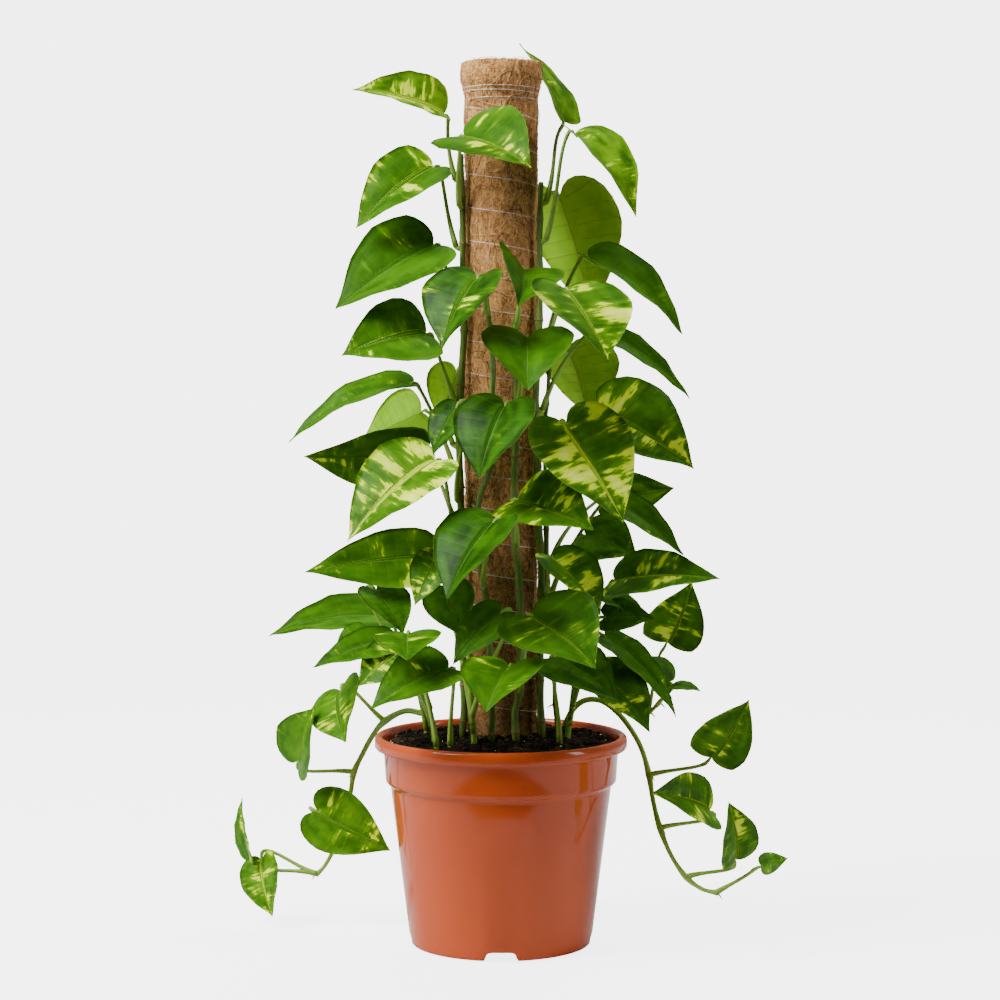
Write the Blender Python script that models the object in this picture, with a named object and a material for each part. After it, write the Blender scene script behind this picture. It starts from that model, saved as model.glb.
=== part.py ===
"""Potted pothos on a coir pole, in a plastic nursery pot.

Modelled in metres, +Z up.  The origin is the centre of the pot's underside,
the plant's front looks along -Y.
"""
import math

import bpy
import bmesh
from mathutils import Vector

MM = 0.001

# ------------------------------------------------------------------ pot
POT_HEIGHT = 174.0
RIM_RADIUS = 105.0
RIM_INNER_RADIUS = 98.5
RIM_BAND = 11.0           # height of the rolled rim
COLLAR_TOP_RADIUS = 97.5
COLLAR_LOW_RADIUS = 96.0
COLLAR_LOW = 135.0        # height of the collar's lower edge
BODY_TOP_RADIUS = 91.5
BODY_LOW_RADIUS = 76.5
FOOT_RADIUS = 72.5
WALL = 1.6
FLOOR = 2.4
PAD_RADIUS = 34.0         # flat centre pad the pot stands on
CHANNEL_HEIGHT = 6.0      # raised ring between pad and foot
NOTCHES = 4
NOTCH_WIDTH = 27.0
NOTCH_HEIGHT = 7.5
POT_SEGMENTS = 36

# ------------------------------------------------------------------ soil
SOIL_EDGE = 169.0         # soil level at the pot wall
SOIL_CROWN = 177.0        # soil level against the pole
SOIL_BOTTOM = 9.0

# ------------------------------------------------------------------ pole
POLE_RADIUS = 30.5
POLE_TOP = 730.0
POLE_FLARE = 34.0
CORE_RADIUS = 12.0
POLE_BOTTOM = 14.0
THREAD_RADIUS = 0.45
THREAD_PITCH = 27.0
THREAD_LOW = 183.0
THREAD_HIGH = 700.0
THREAD_STEPS = 12         # steps in one turn
POLE_SEGMENTS = 24

GAP = 0.35                # clearance between neighbouring pieces

# ------------------------------------------------------------------ leaf
BLADE_THICKNESS = 0.9
PETIOLE_RADIUS = 1.6
# Heart-shaped half outline: along the midrib, out from it, and the place on
# the midrib its vein starts from, all as parts of the blade's length.
HEART = (
    (-0.125, 0.110, 0.000),
    (-0.135, 0.285, 0.000),
    (0.060, 0.440, 0.100),
    (0.340, 0.450, 0.340),
    (0.660, 0.285, 0.640),
    (0.880, 0.090, 0.860),
)
HEART_HALF = 0.455

# ------------------------------------------------------------------ layout
# The plant is laid out on a front elevation sheet drawn in perspective.  A
# station is (across, down, depth): the first two in sheet units, the depth in
# millimetres behind the pole's axis (negative towards the front).
SHEET_CENTRE = 500.0
SHEET_FOCAL = 2520.0
SHEET_TILT = math.radians(3.13)
SHEET_EYE = (-0.8, -2083.0, 483.0)

# Climbing stems: radius, then stations from the top down; the last one runs
# on into the soil.
STEMS = {
    "stem_left": (2.9, [(461, 154, -18), (463, 232, -18), (463, 262, -18), (465, 300, -18),
                        (466, 330, -19), (462, 362, -19), (460, 400, -19), (459, 440, -19),
                        (460, 480, -19), (461, 540, -19), (462, 600, -19), (463, 660, -19),
                        (464, 705, -20)]),
    "stem_centre_left": (2.5, [(486, 292, -38), (489, 320, -38), (492, 350, -38), (493, 375, -38),
                               (492, 400, -38), (497, 440, -38), (490, 470, -38), (483, 487, -38),
                               (478, 510, -38), (480, 560, -38), (486, 600, -38), (490, 650, -38),
                               (492, 700, -40)]),
    "stem_centre_right": (3.0, [(514, 318, -38), (516, 350, -38), (517, 400, -38), (515, 450, -38),
                                (514, 500, -38), (514, 530, -38), (517, 560, -38), (520, 600, -38),
                                (520, 640, -38), (519, 690, -39), (515, 712, -40)]),
    "stem_right": (2.9, [(541, 182, -18), (540, 215, -18), (539, 250, -18), (540, 290, -18),
                         (538, 330, -19), (535, 370, -20), (533, 400, -21), (534, 430, -21),
                         (536, 460, -20), (538, 520, -19), (541, 570, -19), (541, 620, -19),
                         (540, 680, -20)]),
    "stem_right_thin": (1.9, [(549, 332, -4), (549, 370, -4), (547, 400, -4), (545, 430, -4),
                              (545, 470, -4), (546, 520, -4), (548, 600, -3), (553, 660, -2),
                              (555, 700, 0)]),
    "stem_back": (2.9, [(500, 205, 37), (496, 260, 37), (503, 330, 37), (498, 400, 37),
                        (503, 480, 37), (499, 560, 37), (502, 640, 37), (500, 700, 38)]),
}

# Leaves on their own petioles: name, stem and the height its node is at (or
# "soil" and where it comes up), blade base, blade tip, blade width, compass
# angle and rise of the upper face's normal, V fold and arch in degrees.
LEAVES = [
    ("leaf_left_01", "stem_left", 180, (443, 114, -22), (352, 90, -42), 66, 18, 53, 26, 25),
    ("leaf_front_01", "stem_left", 206, (464, 136, -52), (532, 168, -106), 80, 18, 28, 20, 30),
    ("leaf_left_02", "stem_left", 247, (433, 168, 4), (356, 229, -22), 72, -28, 30, 22, 30),
    ("leaf_left_03", "stem_left", 306, (433, 246, -6), (336, 310, -34), 86, -26, 31, 20, 25),
    ("leaf_left_04", "stem_centre_left", 312, (477, 279, -66), (442, 349, -92), 80, -42, 18, 20, 30),
    ("leaf_left_05", "stem_left", 400, (426, 334, -22), (341, 356, -48), 78, -14, 36, 18, 25),
    ("leaf_left_06", "stem_left", 466, (410, 384, -12), (289, 443, -34), 46, -42, 54, 18, 42),
    ("leaf_left_07", "stem_left", 445, (421, 412, 22), (362, 440, 42), 50, 170, 12, 12, 25),
    ("leaf_left_08", "stem_back", 430, (457, 372, 44), (440, 424, 62), 46, 190, 10, 14, 25),
    ("leaf_left_09", "stem_left", 520, (421, 455, -4), (303, 458, -26), 60, -6, -18, 18, 20),
    ("leaf_left_10", "stem_left", 545, (434, 462, -58), (347, 542, -88), 86, -36, 29, 20, 28),
    ("leaf_left_11", "stem_left", 500, (456, 408, -46), (433, 455, -56), 38, -35, 24, 10, 25),
    ("leaf_front_02", "stem_centre_left", 460, (505, 406, -72), (479, 480, -100), 76, -32, 12, 18, 28),
    ("leaf_front_03", "stem_centre_right", 325, (524, 270, -52), (519, 307, -112), 68, 38, 50, 32, 30),
    ("leaf_front_04", "stem_centre_right", 400, (527, 338, -66), (527, 392, -124), 78, 2, 38, 20, 30),
    ("leaf_front_05", "stem_centre_left", 585, (493, 523, -102), (446, 600, -136), 78, -42, 22, 21, 28),
    ("leaf_front_06", "stem_centre_right", 545, (518, 500, -54), (593, 531, -94), 78, 18, 36, 18, 30),
    ("leaf_right_01", "stem_right", 202, (562, 119, 16), (518, 43, 58), 50, 62, 26, 20, 20),
    ("leaf_right_02", "stem_right", 240, (575, 134, -14), (636, 217, -44), 72, 52, 31, 24, 28),
    ("leaf_right_03", "stem_back", 230, (559, 197, 46), (590, 316, 66), 92, 152, 10, 16, 28),
    ("leaf_right_04", "stem_right", 350, (589, 258, 14), (683, 334, -8), 68, 48, 42, 22, 32),
    ("leaf_right_05", "stem_right", 370, (569, 291, -92), (607, 360, -138), 90, 34, 18, 16, 25),
    ("leaf_right_06", "stem_right", 410, (598, 330, 28), (690, 399, 8), 32, 38, 38, 14, 35),
    ("leaf_right_07", "stem_back", 380, (568, 350, 48), (588, 420, 64), 82, 144, 12, 18, 25),
    ("leaf_right_08", "stem_right", 500, (600, 407, -14), (695, 469, -46), 88, 24, 30, 14, 28),
    ("leaf_right_09", "stem_right", 520, (566, 424, -64), (623, 523, -96), 88, 26, 14, 12, 25),
    ("leaf_right_10", "stem_right_thin", 560, (606, 498, 30), (675, 489, 22), 42, 8, 10, 10, 25),
    ("leaf_right_11", "stem_right_thin", 590, (612, 500, -22), (683, 556, -46), 38, 28, 44, 14, 30),
    ("leaf_right_12", "stem_right_thin", 640, (586, 536, 28), (637, 556, 6), 60, 6, 42, 10, 30),
    ("leaf_right_13", "stem_right", 600, (554, 559, -30), (601, 616, -56), 62, 44, 27, 20, 25),
    ("leaf_right_14", "stem_right_thin", 652, (616, 580, -18), (720, 580, -62), 58, 10, 46, 12, 30),
    ("leaf_front_07", "stem_centre_right", 690, (533, 616, -84), (597, 668, -128), 88, 24, 27, 14, 32),
    ("leaf_right_15", "soil", (560, -44), (556, 658, -60), (618, 702, -96), 60, 8, 58, 10, 35),
    ("leaf_low_01", "stem_left", 630, (430, 558, -2), (304, 571, -34), 54, -8, 20, 12, 22),
    ("leaf_low_02", "soil", (426, 22), (386, 617, 26), (268, 635, -8), 54, -16, 54, 14, 35),
    ("leaf_low_03", "soil", (436, -58), (408, 634, -92), (407, 661, -134), 54, -4, 66, 10, 30),
    ("leaf_low_04", "soil", (450, -58), (448, 669, -88), (370, 710, -118), 62, -32, 42, 18, 25),
    ("leaf_front_08", "stem_centre_left", 690, (509, 667, -96), (486, 713, -142), 72, -20, 32, 20, 30),
    ("leaf_back_01", "stem_back", 250, (492, 222, 66), (486, 292, 96), 54, 188, 20, 14, 30),
    ("leaf_back_02", "stem_back", 340, (508, 312, 70), (500, 384, 104), 58, 184, 22, 14, 30),
    ("leaf_back_03", "stem_back", 440, (512, 412, 68), (520, 486, 100), 58, 170, 20, 14, 30),
    ("leaf_back_04", "stem_back", 530, (494, 500, 70), (486, 580, 104), 60, 188, 24, 14, 30),
    ("leaf_back_05", "stem_back", 620, (508, 596, 68), (514, 676, 108), 60, 174, 26, 14, 30),
]

# Young shoots from the soil: where the shoot comes up, its height, then its
# leaves as above without name or node.
SHOOTS = {
    "shoot_left": ((434, -26), 30, [
        ((376, 591, -20), (404, 635, -44), 48, 38, 22, 16, 25),
        ((393, 641, -34), (313, 668, -62), 38, -16, 44, 12, 32),
        ((366, 632, -26), (335, 647, -34), 32, -20, 50, 10, 20),
        ((398, 654, -52), (358, 687, -66), 44, -24, 26, 12, 25),
    ]),
    "shoot_front": ((474, -46), 24, [
        ((440, 556, -74), (415, 606, -94), 38, -20, 22, 12, 25),
        ((446, 588, -50), (460, 636, -60), 44, -8, 24, 12, 25),
        ((500, 614, -62), (452, 664, -78), 42, -20, 34, 14, 30),
    ]),
    "shoot_right": ((568, -14), 30, [
        ((606, 596, -6), (648, 617, -22), 22, 16, 50, 10, 30),
        ((606, 617, -18), (655, 619, -34), 34, 10, 34, 12, 25),
        ((606, 638, -26), (677, 717, -60), 34, 36, 42, 14, 42),
        ((600, 670, -46), (650, 732, -84), 54, 26, 28, 12, 28),
    ]),
}

# Trailing vines: radius, stations from the soil outwards, then leaves as
# (where the petiole leaves the vine, base, tip, width, compass, rise, fold, arch).
VINES = {
    "vine_left": (2.6, [(425, 714, 30), (405, 711, 42), (385, 721, 54), (373, 735, 60), (362, 755, 62),
                        (354, 772, 62), (351, 790, 62), (347, 812, 62), (338, 840, 62), (326, 864, 62),
                        (316, 875, 62)], [
        (2, (341, 691, 48), (345, 743, 12), 66, -40, 6, 18, 22),
        (5, (298, 761, 62), (315, 707, 40), 62, -50, 10, 20, 20),
        (8, (318, 812, 52), (391, 850, 42), 56, -4, 10, 8, 20),
        (10, (250, 857, 66), (242, 798, 62), 32, -62, 10, 16, 20),
        (10, (262, 861, 62), (273, 917, 46), 48, -38, 2, 18, 20),
    ]),
    "vine_right": (2.6, [(566, 722, 16), (574, 708, 18), (586, 700, 20), (602, 701, 22), (618, 713, 24),
                         (632, 731, 20), (642, 750, 10), (649, 775, -2), (653, 800, -14), (660, 828, -28),
                         (671, 855, -40), (686, 877, -50), (702, 889, -56), (718, 893, -60)], [
        (7, (711, 757, -34), (750, 700, -38), 52, 18, -4, 8, 20),
        (9, (709, 811, -40), (652, 793, -66), 60, 24, 46, 22, 20),
        (11, (735, 859, -54), (728, 802, -68), 50, 44, 2, 18, 20),
        (13, (762, 866, -60), (788, 858, -62), 20, 0, 40, 10, 20),
    ]),
    "vine_side": (1.7, [(636, 719, 40), (648, 713, 34), (658, 704, 28), (668, 692, 20)], [
        (1, (667, 642, 6), (693, 582, 0), 52, 12, 2, 10, 20),
        (2, (669, 681, 4), (640, 657, -10), 30, -10, 40, 10, 20),
        (3, (673, 686, 0), (701, 691, -14), 20, 30, 56, 10, 20),
    ]),
}

# How far a blade's two lobes reach back behind its base, where that differs
# from the usual heart shape (1.0).  Leaves of a shoot or vine are numbered.
LOBES = {
    "leaf_left_01": 0.35, "leaf_left_02": 0.5, "leaf_left_03": 0.6, "leaf_left_05": 0.4,
    "leaf_left_06": 0.4, "leaf_left_07": 0.5, "leaf_left_09": 0.5, "leaf_left_10": 0.7,
    "leaf_right_01": 0.4, "leaf_right_02": 0.35, "leaf_right_04": 0.5, "leaf_right_06": 0.5,
    "leaf_right_11": 0.6, "leaf_front_04": 1.3, "leaf_front_08": 1.3, "leaf_low_02": 0.6,
    "leaf_low_04": 0.6, "leaf_front_06": 0.4, "leaf_right_14": 0.5, "leaf_low_01": 0.7, "shoot_left:1": 0.5, "shoot_right:0": 0.5, "shoot_right:2": 0.5,
    "vine_left:3": 0.5, "vine_right:0": 0.35, "vine_right:1": 0.6, "vine_right:2": 0.5,
    "vine_right:3": 0.6, "vine_side:0": 0.35, "vine_side:2": 0.6,
}

# Leaves whose petiole runs on behind the blade before it turns to the stem.
ARCHED = ("leaf_low_01", "leaf_low_03", "leaf_left_11", "leaf_back_01", "leaf_back_02", "leaf_back_03", "leaf_back_04", "leaf_back_05")

# ------------------------------------------------------------------ colours
COLOURS = {
    "pot": ((0.56, 0.16, 0.065), 0.28),
    "soil": ((0.018, 0.011, 0.008), 0.95),
    "coir": ((0.33, 0.17, 0.075), 0.95),
    "core": ((0.60, 0.55, 0.46), 0.60),
    "thread": ((0.72, 0.66, 0.60), 0.30),
    "stem": ((0.13, 0.26, 0.05), 0.45),
    "leaf": ((0.07, 0.24, 0.02), 0.35),
    "vine": ((0.10, 0.27, 0.03), 0.40),
}


def material(name, key):
    colour, rough = COLOURS[key]
    mat = bpy.data.materials.new(name)
    mat.use_nodes = True
    shader = mat.node_tree.nodes["Principled BSDF"]
    shader.inputs["Base Color"].default_value = (*colour, 1.0)
    shader.inputs["Roughness"].default_value = rough
    shader.inputs["Metallic"].default_value = 0.0
    mat.diffuse_color = (*colour, 1.0)
    return mat


def make_object(name, key, verts, faces, smooth=True):
    """A mesh object from points in millimetres."""
    mesh = bpy.data.meshes.new(name)
    mesh.from_pydata([tuple(c * MM for c in v) for v in verts], [], faces)
    mesh.validate()
    bm = bmesh.new()
    bm.from_mesh(mesh)
    bmesh.ops.recalc_face_normals(bm, faces=bm.faces)
    bm.to_mesh(mesh)
    bm.free()
    if smooth:
        mesh.shade_smooth()
        mesh.set_sharp_from_angle(angle=math.radians(50))
    mesh.materials.append(material(name + "_material", key))
    obj = bpy.data.objects.new(name, mesh)
    bpy.context.scene.collection.objects.link(obj)
    return obj


def station(across, down, depth):
    """A sheet station as a point in millimetres."""
    a = (across - SHEET_CENTRE) / SHEET_FOCAL
    b = (SHEET_CENTRE - down) / SHEET_FOCAL
    ray = Vector((a, math.cos(SHEET_TILT) + math.sin(SHEET_TILT) * b,
                  -math.sin(SHEET_TILT) + math.cos(SHEET_TILT) * b))
    eye = Vector(SHEET_EYE)
    return eye + ray * ((depth - eye.y) / ray.y)


def soil_level(x, y):
    wall = COLLAR_TOP_RADIUS - WALL - 0.8
    r = min(max(math.hypot(x, y), POLE_RADIUS), wall)
    t = (r - POLE_RADIUS) / (wall - POLE_RADIUS)
    return SOIL_CROWN + (SOIL_EDGE - SOIL_CROWN) * t


def soil_station(across, depth):
    """Where a line across the sheet meets the soil, at the given depth."""
    x = (across - 501.0) * 0.8268 * (1.0 + depth / 2083.0)
    return Vector((x, depth, soil_level(x, depth)))


# ------------------------------------------------------------------ shapes
def turn(name, key, profile, segments, smooth=True):
    """Turn a closed profile of (radius, height) about the Z axis."""
    verts, faces, rings = [], [], []
    for r, z in profile:
        if r < 1e-6:
            rings.append([len(verts)])
            verts.append((0.0, 0.0, z))
        else:
            ring = []
            for k in range(segments):
                a = 2.0 * math.pi * k / segments
                ring.append(len(verts))
                verts.append((r * math.cos(a), r * math.sin(a), z))
            rings.append(ring)
    closed = profile[0][0] > 1e-6
    pairs = list(zip(rings, rings[1:]))
    if closed:
        pairs.append((rings[-1], rings[0]))
    for lower, upper in pairs:
        for k in range(segments):
            m = (k + 1) % segments
            if len(lower) == 1 and len(upper) == 1:
                continue
            if len(lower) == 1:
                faces.append((lower[0], upper[k], upper[m]))
            elif len(upper) == 1:
                faces.append((lower[k], lower[m], upper[0]))
            else:
                faces.append((lower[k], lower[m], upper[m], upper[k]))
    return make_object(name, key, verts, faces, smooth)


def smooth_path(points, steps):
    """Catmull-Rom curve through the points."""
    pts = [points[0] * 2 - points[1]] + list(points) + [points[-1] * 2 - points[-2]]
    out = []
    for i in range(1, len(pts) - 2):
        p0, p1, p2, p3 = pts[i - 1:i + 3]
        for k in range(steps):
            t = k / steps
            out.append(0.5 * ((2 * p1) + (p2 - p0) * t + (2 * p0 - 5 * p1 + 4 * p2 - p3) * t * t
                              + (3 * p1 - p0 - 3 * p2 + p3) * t * t * t))
    out.append(points[-1].copy())
    return out


def tube(points, radii, sides, up=None):
    """Rings of a round tube along the points, and the faces of its side."""
    verts, faces = [], []
    direction = (points[1] - points[0]).normalized()
    side = up if up is not None else Vector((0.0, 0.0, 1.0))
    if abs(side.dot(direction)) > 0.95:
        side = Vector((0.3, -1.0, 0.0))
    side = (side - direction * side.dot(direction)).normalized()
    for i, p in enumerate(points):
        a = points[max(i - 1, 0)]
        b = points[min(i + 1, len(points) - 1)]
        direction = (b - a).normalized()
        side = (side - direction * side.dot(direction)).normalized()
        across = direction.cross(side)
        for k in range(sides):
            angle = 2.0 * math.pi * k / sides
            verts.append(p + (side * math.cos(angle) + across * math.sin(angle)) * radii[i])
    for i in range(len(points) - 1):
        for k in range(sides):
            m = (k + 1) % sides
            faces.append((i * sides + k, i * sides + m, (i + 1) * sides + m, (i + 1) * sides + k))
    return verts, faces


def capped_tube(points, radii, sides):
    verts, faces = tube(points, radii, sides)
    last = len(points) - 1
    faces.append(tuple(range(sides)))
    faces.append(tuple(last * sides + k for k in range(sides)))
    return verts, faces


def keep_off_pole(p, clearance):
    """Move a point outwards until it clears the bound pole."""
    if p.z > POLE_TOP + 6.0:
        return p
    r = math.hypot(p.x, p.y)
    need = POLE_RADIUS + 2.6 + clearance
    if p.z > 690.0:
        need += 2.0
    if r >= need or r < 1e-6:
        return p
    return Vector((p.x * need / r, p.y * need / r, p.z))


def leaf_solid(start, start_dir, base, tip, width, compass, rise, fold, arch, lobes=1.0, climbing=False, rings=3):
    """One closed solid: a heart-shaped blade grown onto its petiole."""
    axis = tip - base
    length = axis.length
    axis.normalize()
    c, r = math.radians(compass), math.radians(rise)
    normal = Vector((math.sin(c) * math.cos(r), -math.cos(c) * math.cos(r), math.sin(r)))
    normal = (normal - axis * normal.dot(axis)).normalized()
    across = normal.cross(axis)
    spread = width / (2.0 * HEART_HALF * length)
    sag = length * math.radians(arch) / 8.0
    tilt = math.radians(fold)

    def surface(s, t):
        return (base + axis * (length * s)
                + across * (length * t * spread * math.cos(tilt))
                + normal * (4.0 * s * (1.0 - s) * sag
                            + length * abs(t) * spread * math.sin(tilt)))

    # the first row is the blade's shoulder, either side of the petiole
    rows = [(-2.2 / length, 1.2 / (length * spread), 0.0)]
    rows += [(min(along, 0.0) * lobes + max(along, 0.0), out, vein) for along, out, vein in HEART]
    mid_s = sorted({row[2] for row in rows} | {0.0, 1.0})
    verts, index = [], {}

    def vertex(tag, point):
        if tag not in index:
            index[tag] = len(verts)
            verts.append(point)
        return index[tag]

    for layer, drop in (("top", 0.5), ("low", -0.5)):
        shift = normal * (drop * BLADE_THICKNESS)
        for s in mid_s:
            vertex((layer, "mid", s), surface(s, 0.0) + shift)
        for side in (1, -1):
            for i, (s, t, _) in enumerate(rows):
                vertex((layer, side, i), surface(s, t * side) + shift)

    faces = []
    count = len(rows)
    for layer in ("top", "low"):
        for side in (1, -1):
            for i in range(count):
                a = index[(layer, "mid", rows[i][2])]
                qa = index[(layer, side, i)]
                if i + 1 < count:
                    b = index[(layer, "mid", rows[i + 1][2])]
                    qb = index[(layer, side, i + 1)]
                else:
                    b = index[(layer, "mid", 1.0)]
                    qb = b
                if a != b:
                    faces.append((a, b, qa) if qb == b else (a, b, qb))
                if qb != b:
                    faces.append((a, qb, qa))
    for side in (1, -1):
        for i in range(count):
            a, c = index[("top", side, i)], index[("low", side, i)]
            if i + 1 < count:
                b, d = index[("top", side, i + 1)], index[("low", side, i + 1)]
            else:
                b, d = index[("top", "mid", 1.0)], index[("low", "mid", 1.0)]
            faces.append((a, b, d))
            faces.append((a, d, c))
    # petiole: six sides, laid from the blade's shoulder down to the stem
    reach = (base - start).length
    neck = base - axis * 4.2 - normal * 0.2
    bend = neck - (axis * 1.6 + normal * 2.2 if climbing else axis * 3.4 + normal * 1.4)
    if climbing:              # rises beside the stem, then arches over to the blade
        p1 = start + start_dir * (0.42 * reach)
        p2 = bend.lerp(start, 0.20) + (Vector((0.0, 0.0, 0.08)) - normal * 0.12) * reach
    else:
        p1 = start + start_dir * (0.34 * reach)
        p2 = bend - (axis * 0.6 + normal * 0.6).normalized() * (0.26 * reach)
    points = [neck]
    for k in range(rings + 1):
        t = 1.0 - k / rings
        p = (start * (1 - t) ** 3 + p1 * (3 * t * (1 - t) ** 2)
             + p2 * (3 * t * t * (1 - t)) + bend * t ** 3)
        if 0 < k < rings:
            p = keep_off_pole(p, PETIOLE_RADIUS + GAP)
        points.append(p)
    radii = [PETIOLE_RADIUS * (0.85 + 0.30 * k / (rings + 1)) for k in range(rings + 2)]
    offset = len(verts)
    ring_verts, ring_faces = tube(points, radii, 6, up=normal)
    verts.extend(ring_verts)
    faces.extend(tuple(offset + v for v in f) for f in ring_faces)
    faces.append(tuple(offset + (rings + 1) * 6 + k for k in range(6)))
    shoulder = [index[("top", "mid", 0.0)], index[("top", 1, 0)], index[("low", 1, 0)],
                index[("low", "mid", 0.0)], index[("low", -1, 0)], index[("top", -1, 0)]]
    for k in range(6):
        m = (k + 1) % 6
        a, b, c, d = shoulder[k], shoulder[m], offset + m, offset + k
        if k in (0, 1, 2):
            faces.append((a, b, d))
            faces.append((b, c, d))
        else:
            faces.append((a, b, c))
            faces.append((a, c, d))
    return verts, faces


def join(name, key, solids):
    """Unite closed solids into one object."""
    parts = [make_object(f"{name}_part{i}", key, v, f) for i, (v, f) in enumerate(solids)]
    body = parts[0]
    for other in parts[1:]:
        mod = body.modifiers.new("join", 'BOOLEAN')
        mod.operation = 'UNION'
        mod.object = other
    bpy.context.view_layer.update()
    graph = bpy.context.evaluated_depsgraph_get()
    mesh = bpy.data.meshes.new_from_object(body.evaluated_get(graph))
    for other in parts:
        bpy.data.objects.remove(other, do_unlink=True)
    bm = bmesh.new()
    bm.from_mesh(mesh)
    bmesh.ops.remove_doubles(bm, verts=bm.verts, dist=0.03 * MM)
    bmesh.ops.dissolve_degenerate(bm, edges=bm.edges, dist=0.02 * MM)
    bmesh.ops.triangulate(bm, faces=bm.faces)
    bm.to_mesh(mesh)
    bm.free()
    mesh.name = name
    mesh.materials.clear()
    mesh.materials.append(material(name + "_material", key))
    obj = bpy.data.objects.new(name, mesh)
    bpy.context.scene.collection.objects.link(obj)
    return obj


# ------------------------------------------------------------------ build
def build_pot():
    profile = [
        (FOOT_RADIUS - 5.0, 0.0), (FOOT_RADIUS, 0.0),
        (BODY_LOW_RADIUS - 1.2, 4.0), (BODY_LOW_RADIUS, 9.0),
        (BODY_TOP_RADIUS, COLLAR_LOW - 4.0), (BODY_TOP_RADIUS + 1.2, COLLAR_LOW - 1.5),
        (COLLAR_LOW_RADIUS - 0.6, COLLAR_LOW + 1.5), (COLLAR_LOW_RADIUS, COLLAR_LOW + 5.0),
        (COLLAR_TOP_RADIUS, POT_HEIGHT - RIM_BAND - 1.0), (RIM_RADIUS - 1.5, POT_HEIGHT - RIM_BAND),
        (RIM_RADIUS, POT_HEIGHT - RIM_BAND + 2.0), (RIM_RADIUS, POT_HEIGHT - 3.0),
        (RIM_RADIUS - 1.6, POT_HEIGHT - 0.6), (RIM_RADIUS - 3.6, POT_HEIGHT),
        (RIM_INNER_RADIUS + 0.6, POT_HEIGHT - 0.6), (RIM_INNER_RADIUS, POT_HEIGHT - 2.5),
        (COLLAR_TOP_RADIUS - WALL, POT_HEIGHT - RIM_BAND - 2.0),
        (COLLAR_LOW_RADIUS - WALL, COLLAR_LOW + 4.0), (BODY_TOP_RADIUS - WALL, COLLAR_LOW - 3.0),
        (BODY_LOW_RADIUS - WALL - 0.6, CHANNEL_HEIGHT + FLOOR + 3.0),
        (BODY_LOW_RADIUS - WALL - 3.0, CHANNEL_HEIGHT + FLOOR),
        (0.0, CHANNEL_HEIGHT + FLOOR),
    ]
    # the underside, from the pad at the centre out to the foot
    under = [(0.0, 0.0), (PAD_RADIUS, 0.0), (PAD_RADIUS + 4.0, CHANNEL_HEIGHT),
             (FOOT_RADIUS - 8.0, CHANNEL_HEIGHT)]
    pot = turn("pot", "pot", under + profile, POT_SEGMENTS)
    pot.data.set_sharp_from_angle(angle=math.radians(40))
    for k in range(NOTCHES):
        angle = -math.pi / 2 + 2 * math.pi * k / NOTCHES
        mesh = bpy.data.meshes.new(f"notch_{k}")
        bm = bmesh.new()
        bmesh.ops.create_cube(bm, size=1.0)
        bmesh.ops.scale(bm, vec=(14.0 * MM, NOTCH_WIDTH * MM, NOTCH_HEIGHT * 2 * MM), verts=bm.verts)
        edges = [e for e in bm.edges if abs(e.verts[0].co.x - e.verts[1].co.x) > 1 * MM]
        bmesh.ops.bevel(bm, geom=edges, offset=2.5 * MM, segments=2, profile=0.5, affect='EDGES')
        bm.to_mesh(mesh)
        bm.free()
        cutter = bpy.data.objects.new(f"notch_{k}", mesh)
        cutter.location = (math.cos(angle) * 73.0 * MM, math.sin(angle) * 73.0 * MM, -2.0 * MM)
        cutter.rotation_euler = (0, 0, angle)
        cutter.hide_render = True
        cutter.display_type = 'WIRE'
        bpy.context.scene.collection.objects.link(cutter)
        mod = pot.modifiers.new(f"notch_{k}", 'BOOLEAN')
        mod.operation = 'DIFFERENCE'
        mod.object = cutter
    return pot


def build_soil():
    hole = POLE_RADIUS + GAP
    wall = COLLAR_TOP_RADIUS - WALL - 0.8
    top = []
    for k in range(5):
        t = k / 4
        r = hole + (wall - 1.0 - hole) * t
        top.append((r, soil_level(r, 0.0)))
    inside = CHANNEL_HEIGHT + FLOOR + GAP
    profile = [(0.0, inside)] + [(BODY_LOW_RADIUS - WALL - 3.6, inside),
               (BODY_LOW_RADIUS - WALL - 1.2, inside + 3.0),
               (BODY_TOP_RADIUS - WALL - 0.7, COLLAR_LOW - 3.0),
               (COLLAR_LOW_RADIUS - WALL - 1.2, COLLAR_LOW + 4.0), (wall, POT_HEIGHT - RIM_BAND - 3.5),
               (wall, SOIL_EDGE - 2.5)] + top[::-1] + [(hole, POLE_BOTTOM - GAP), (0.0, POLE_BOTTOM - GAP)]
    return turn("soil", "soil", profile, POT_SEGMENTS)


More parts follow.
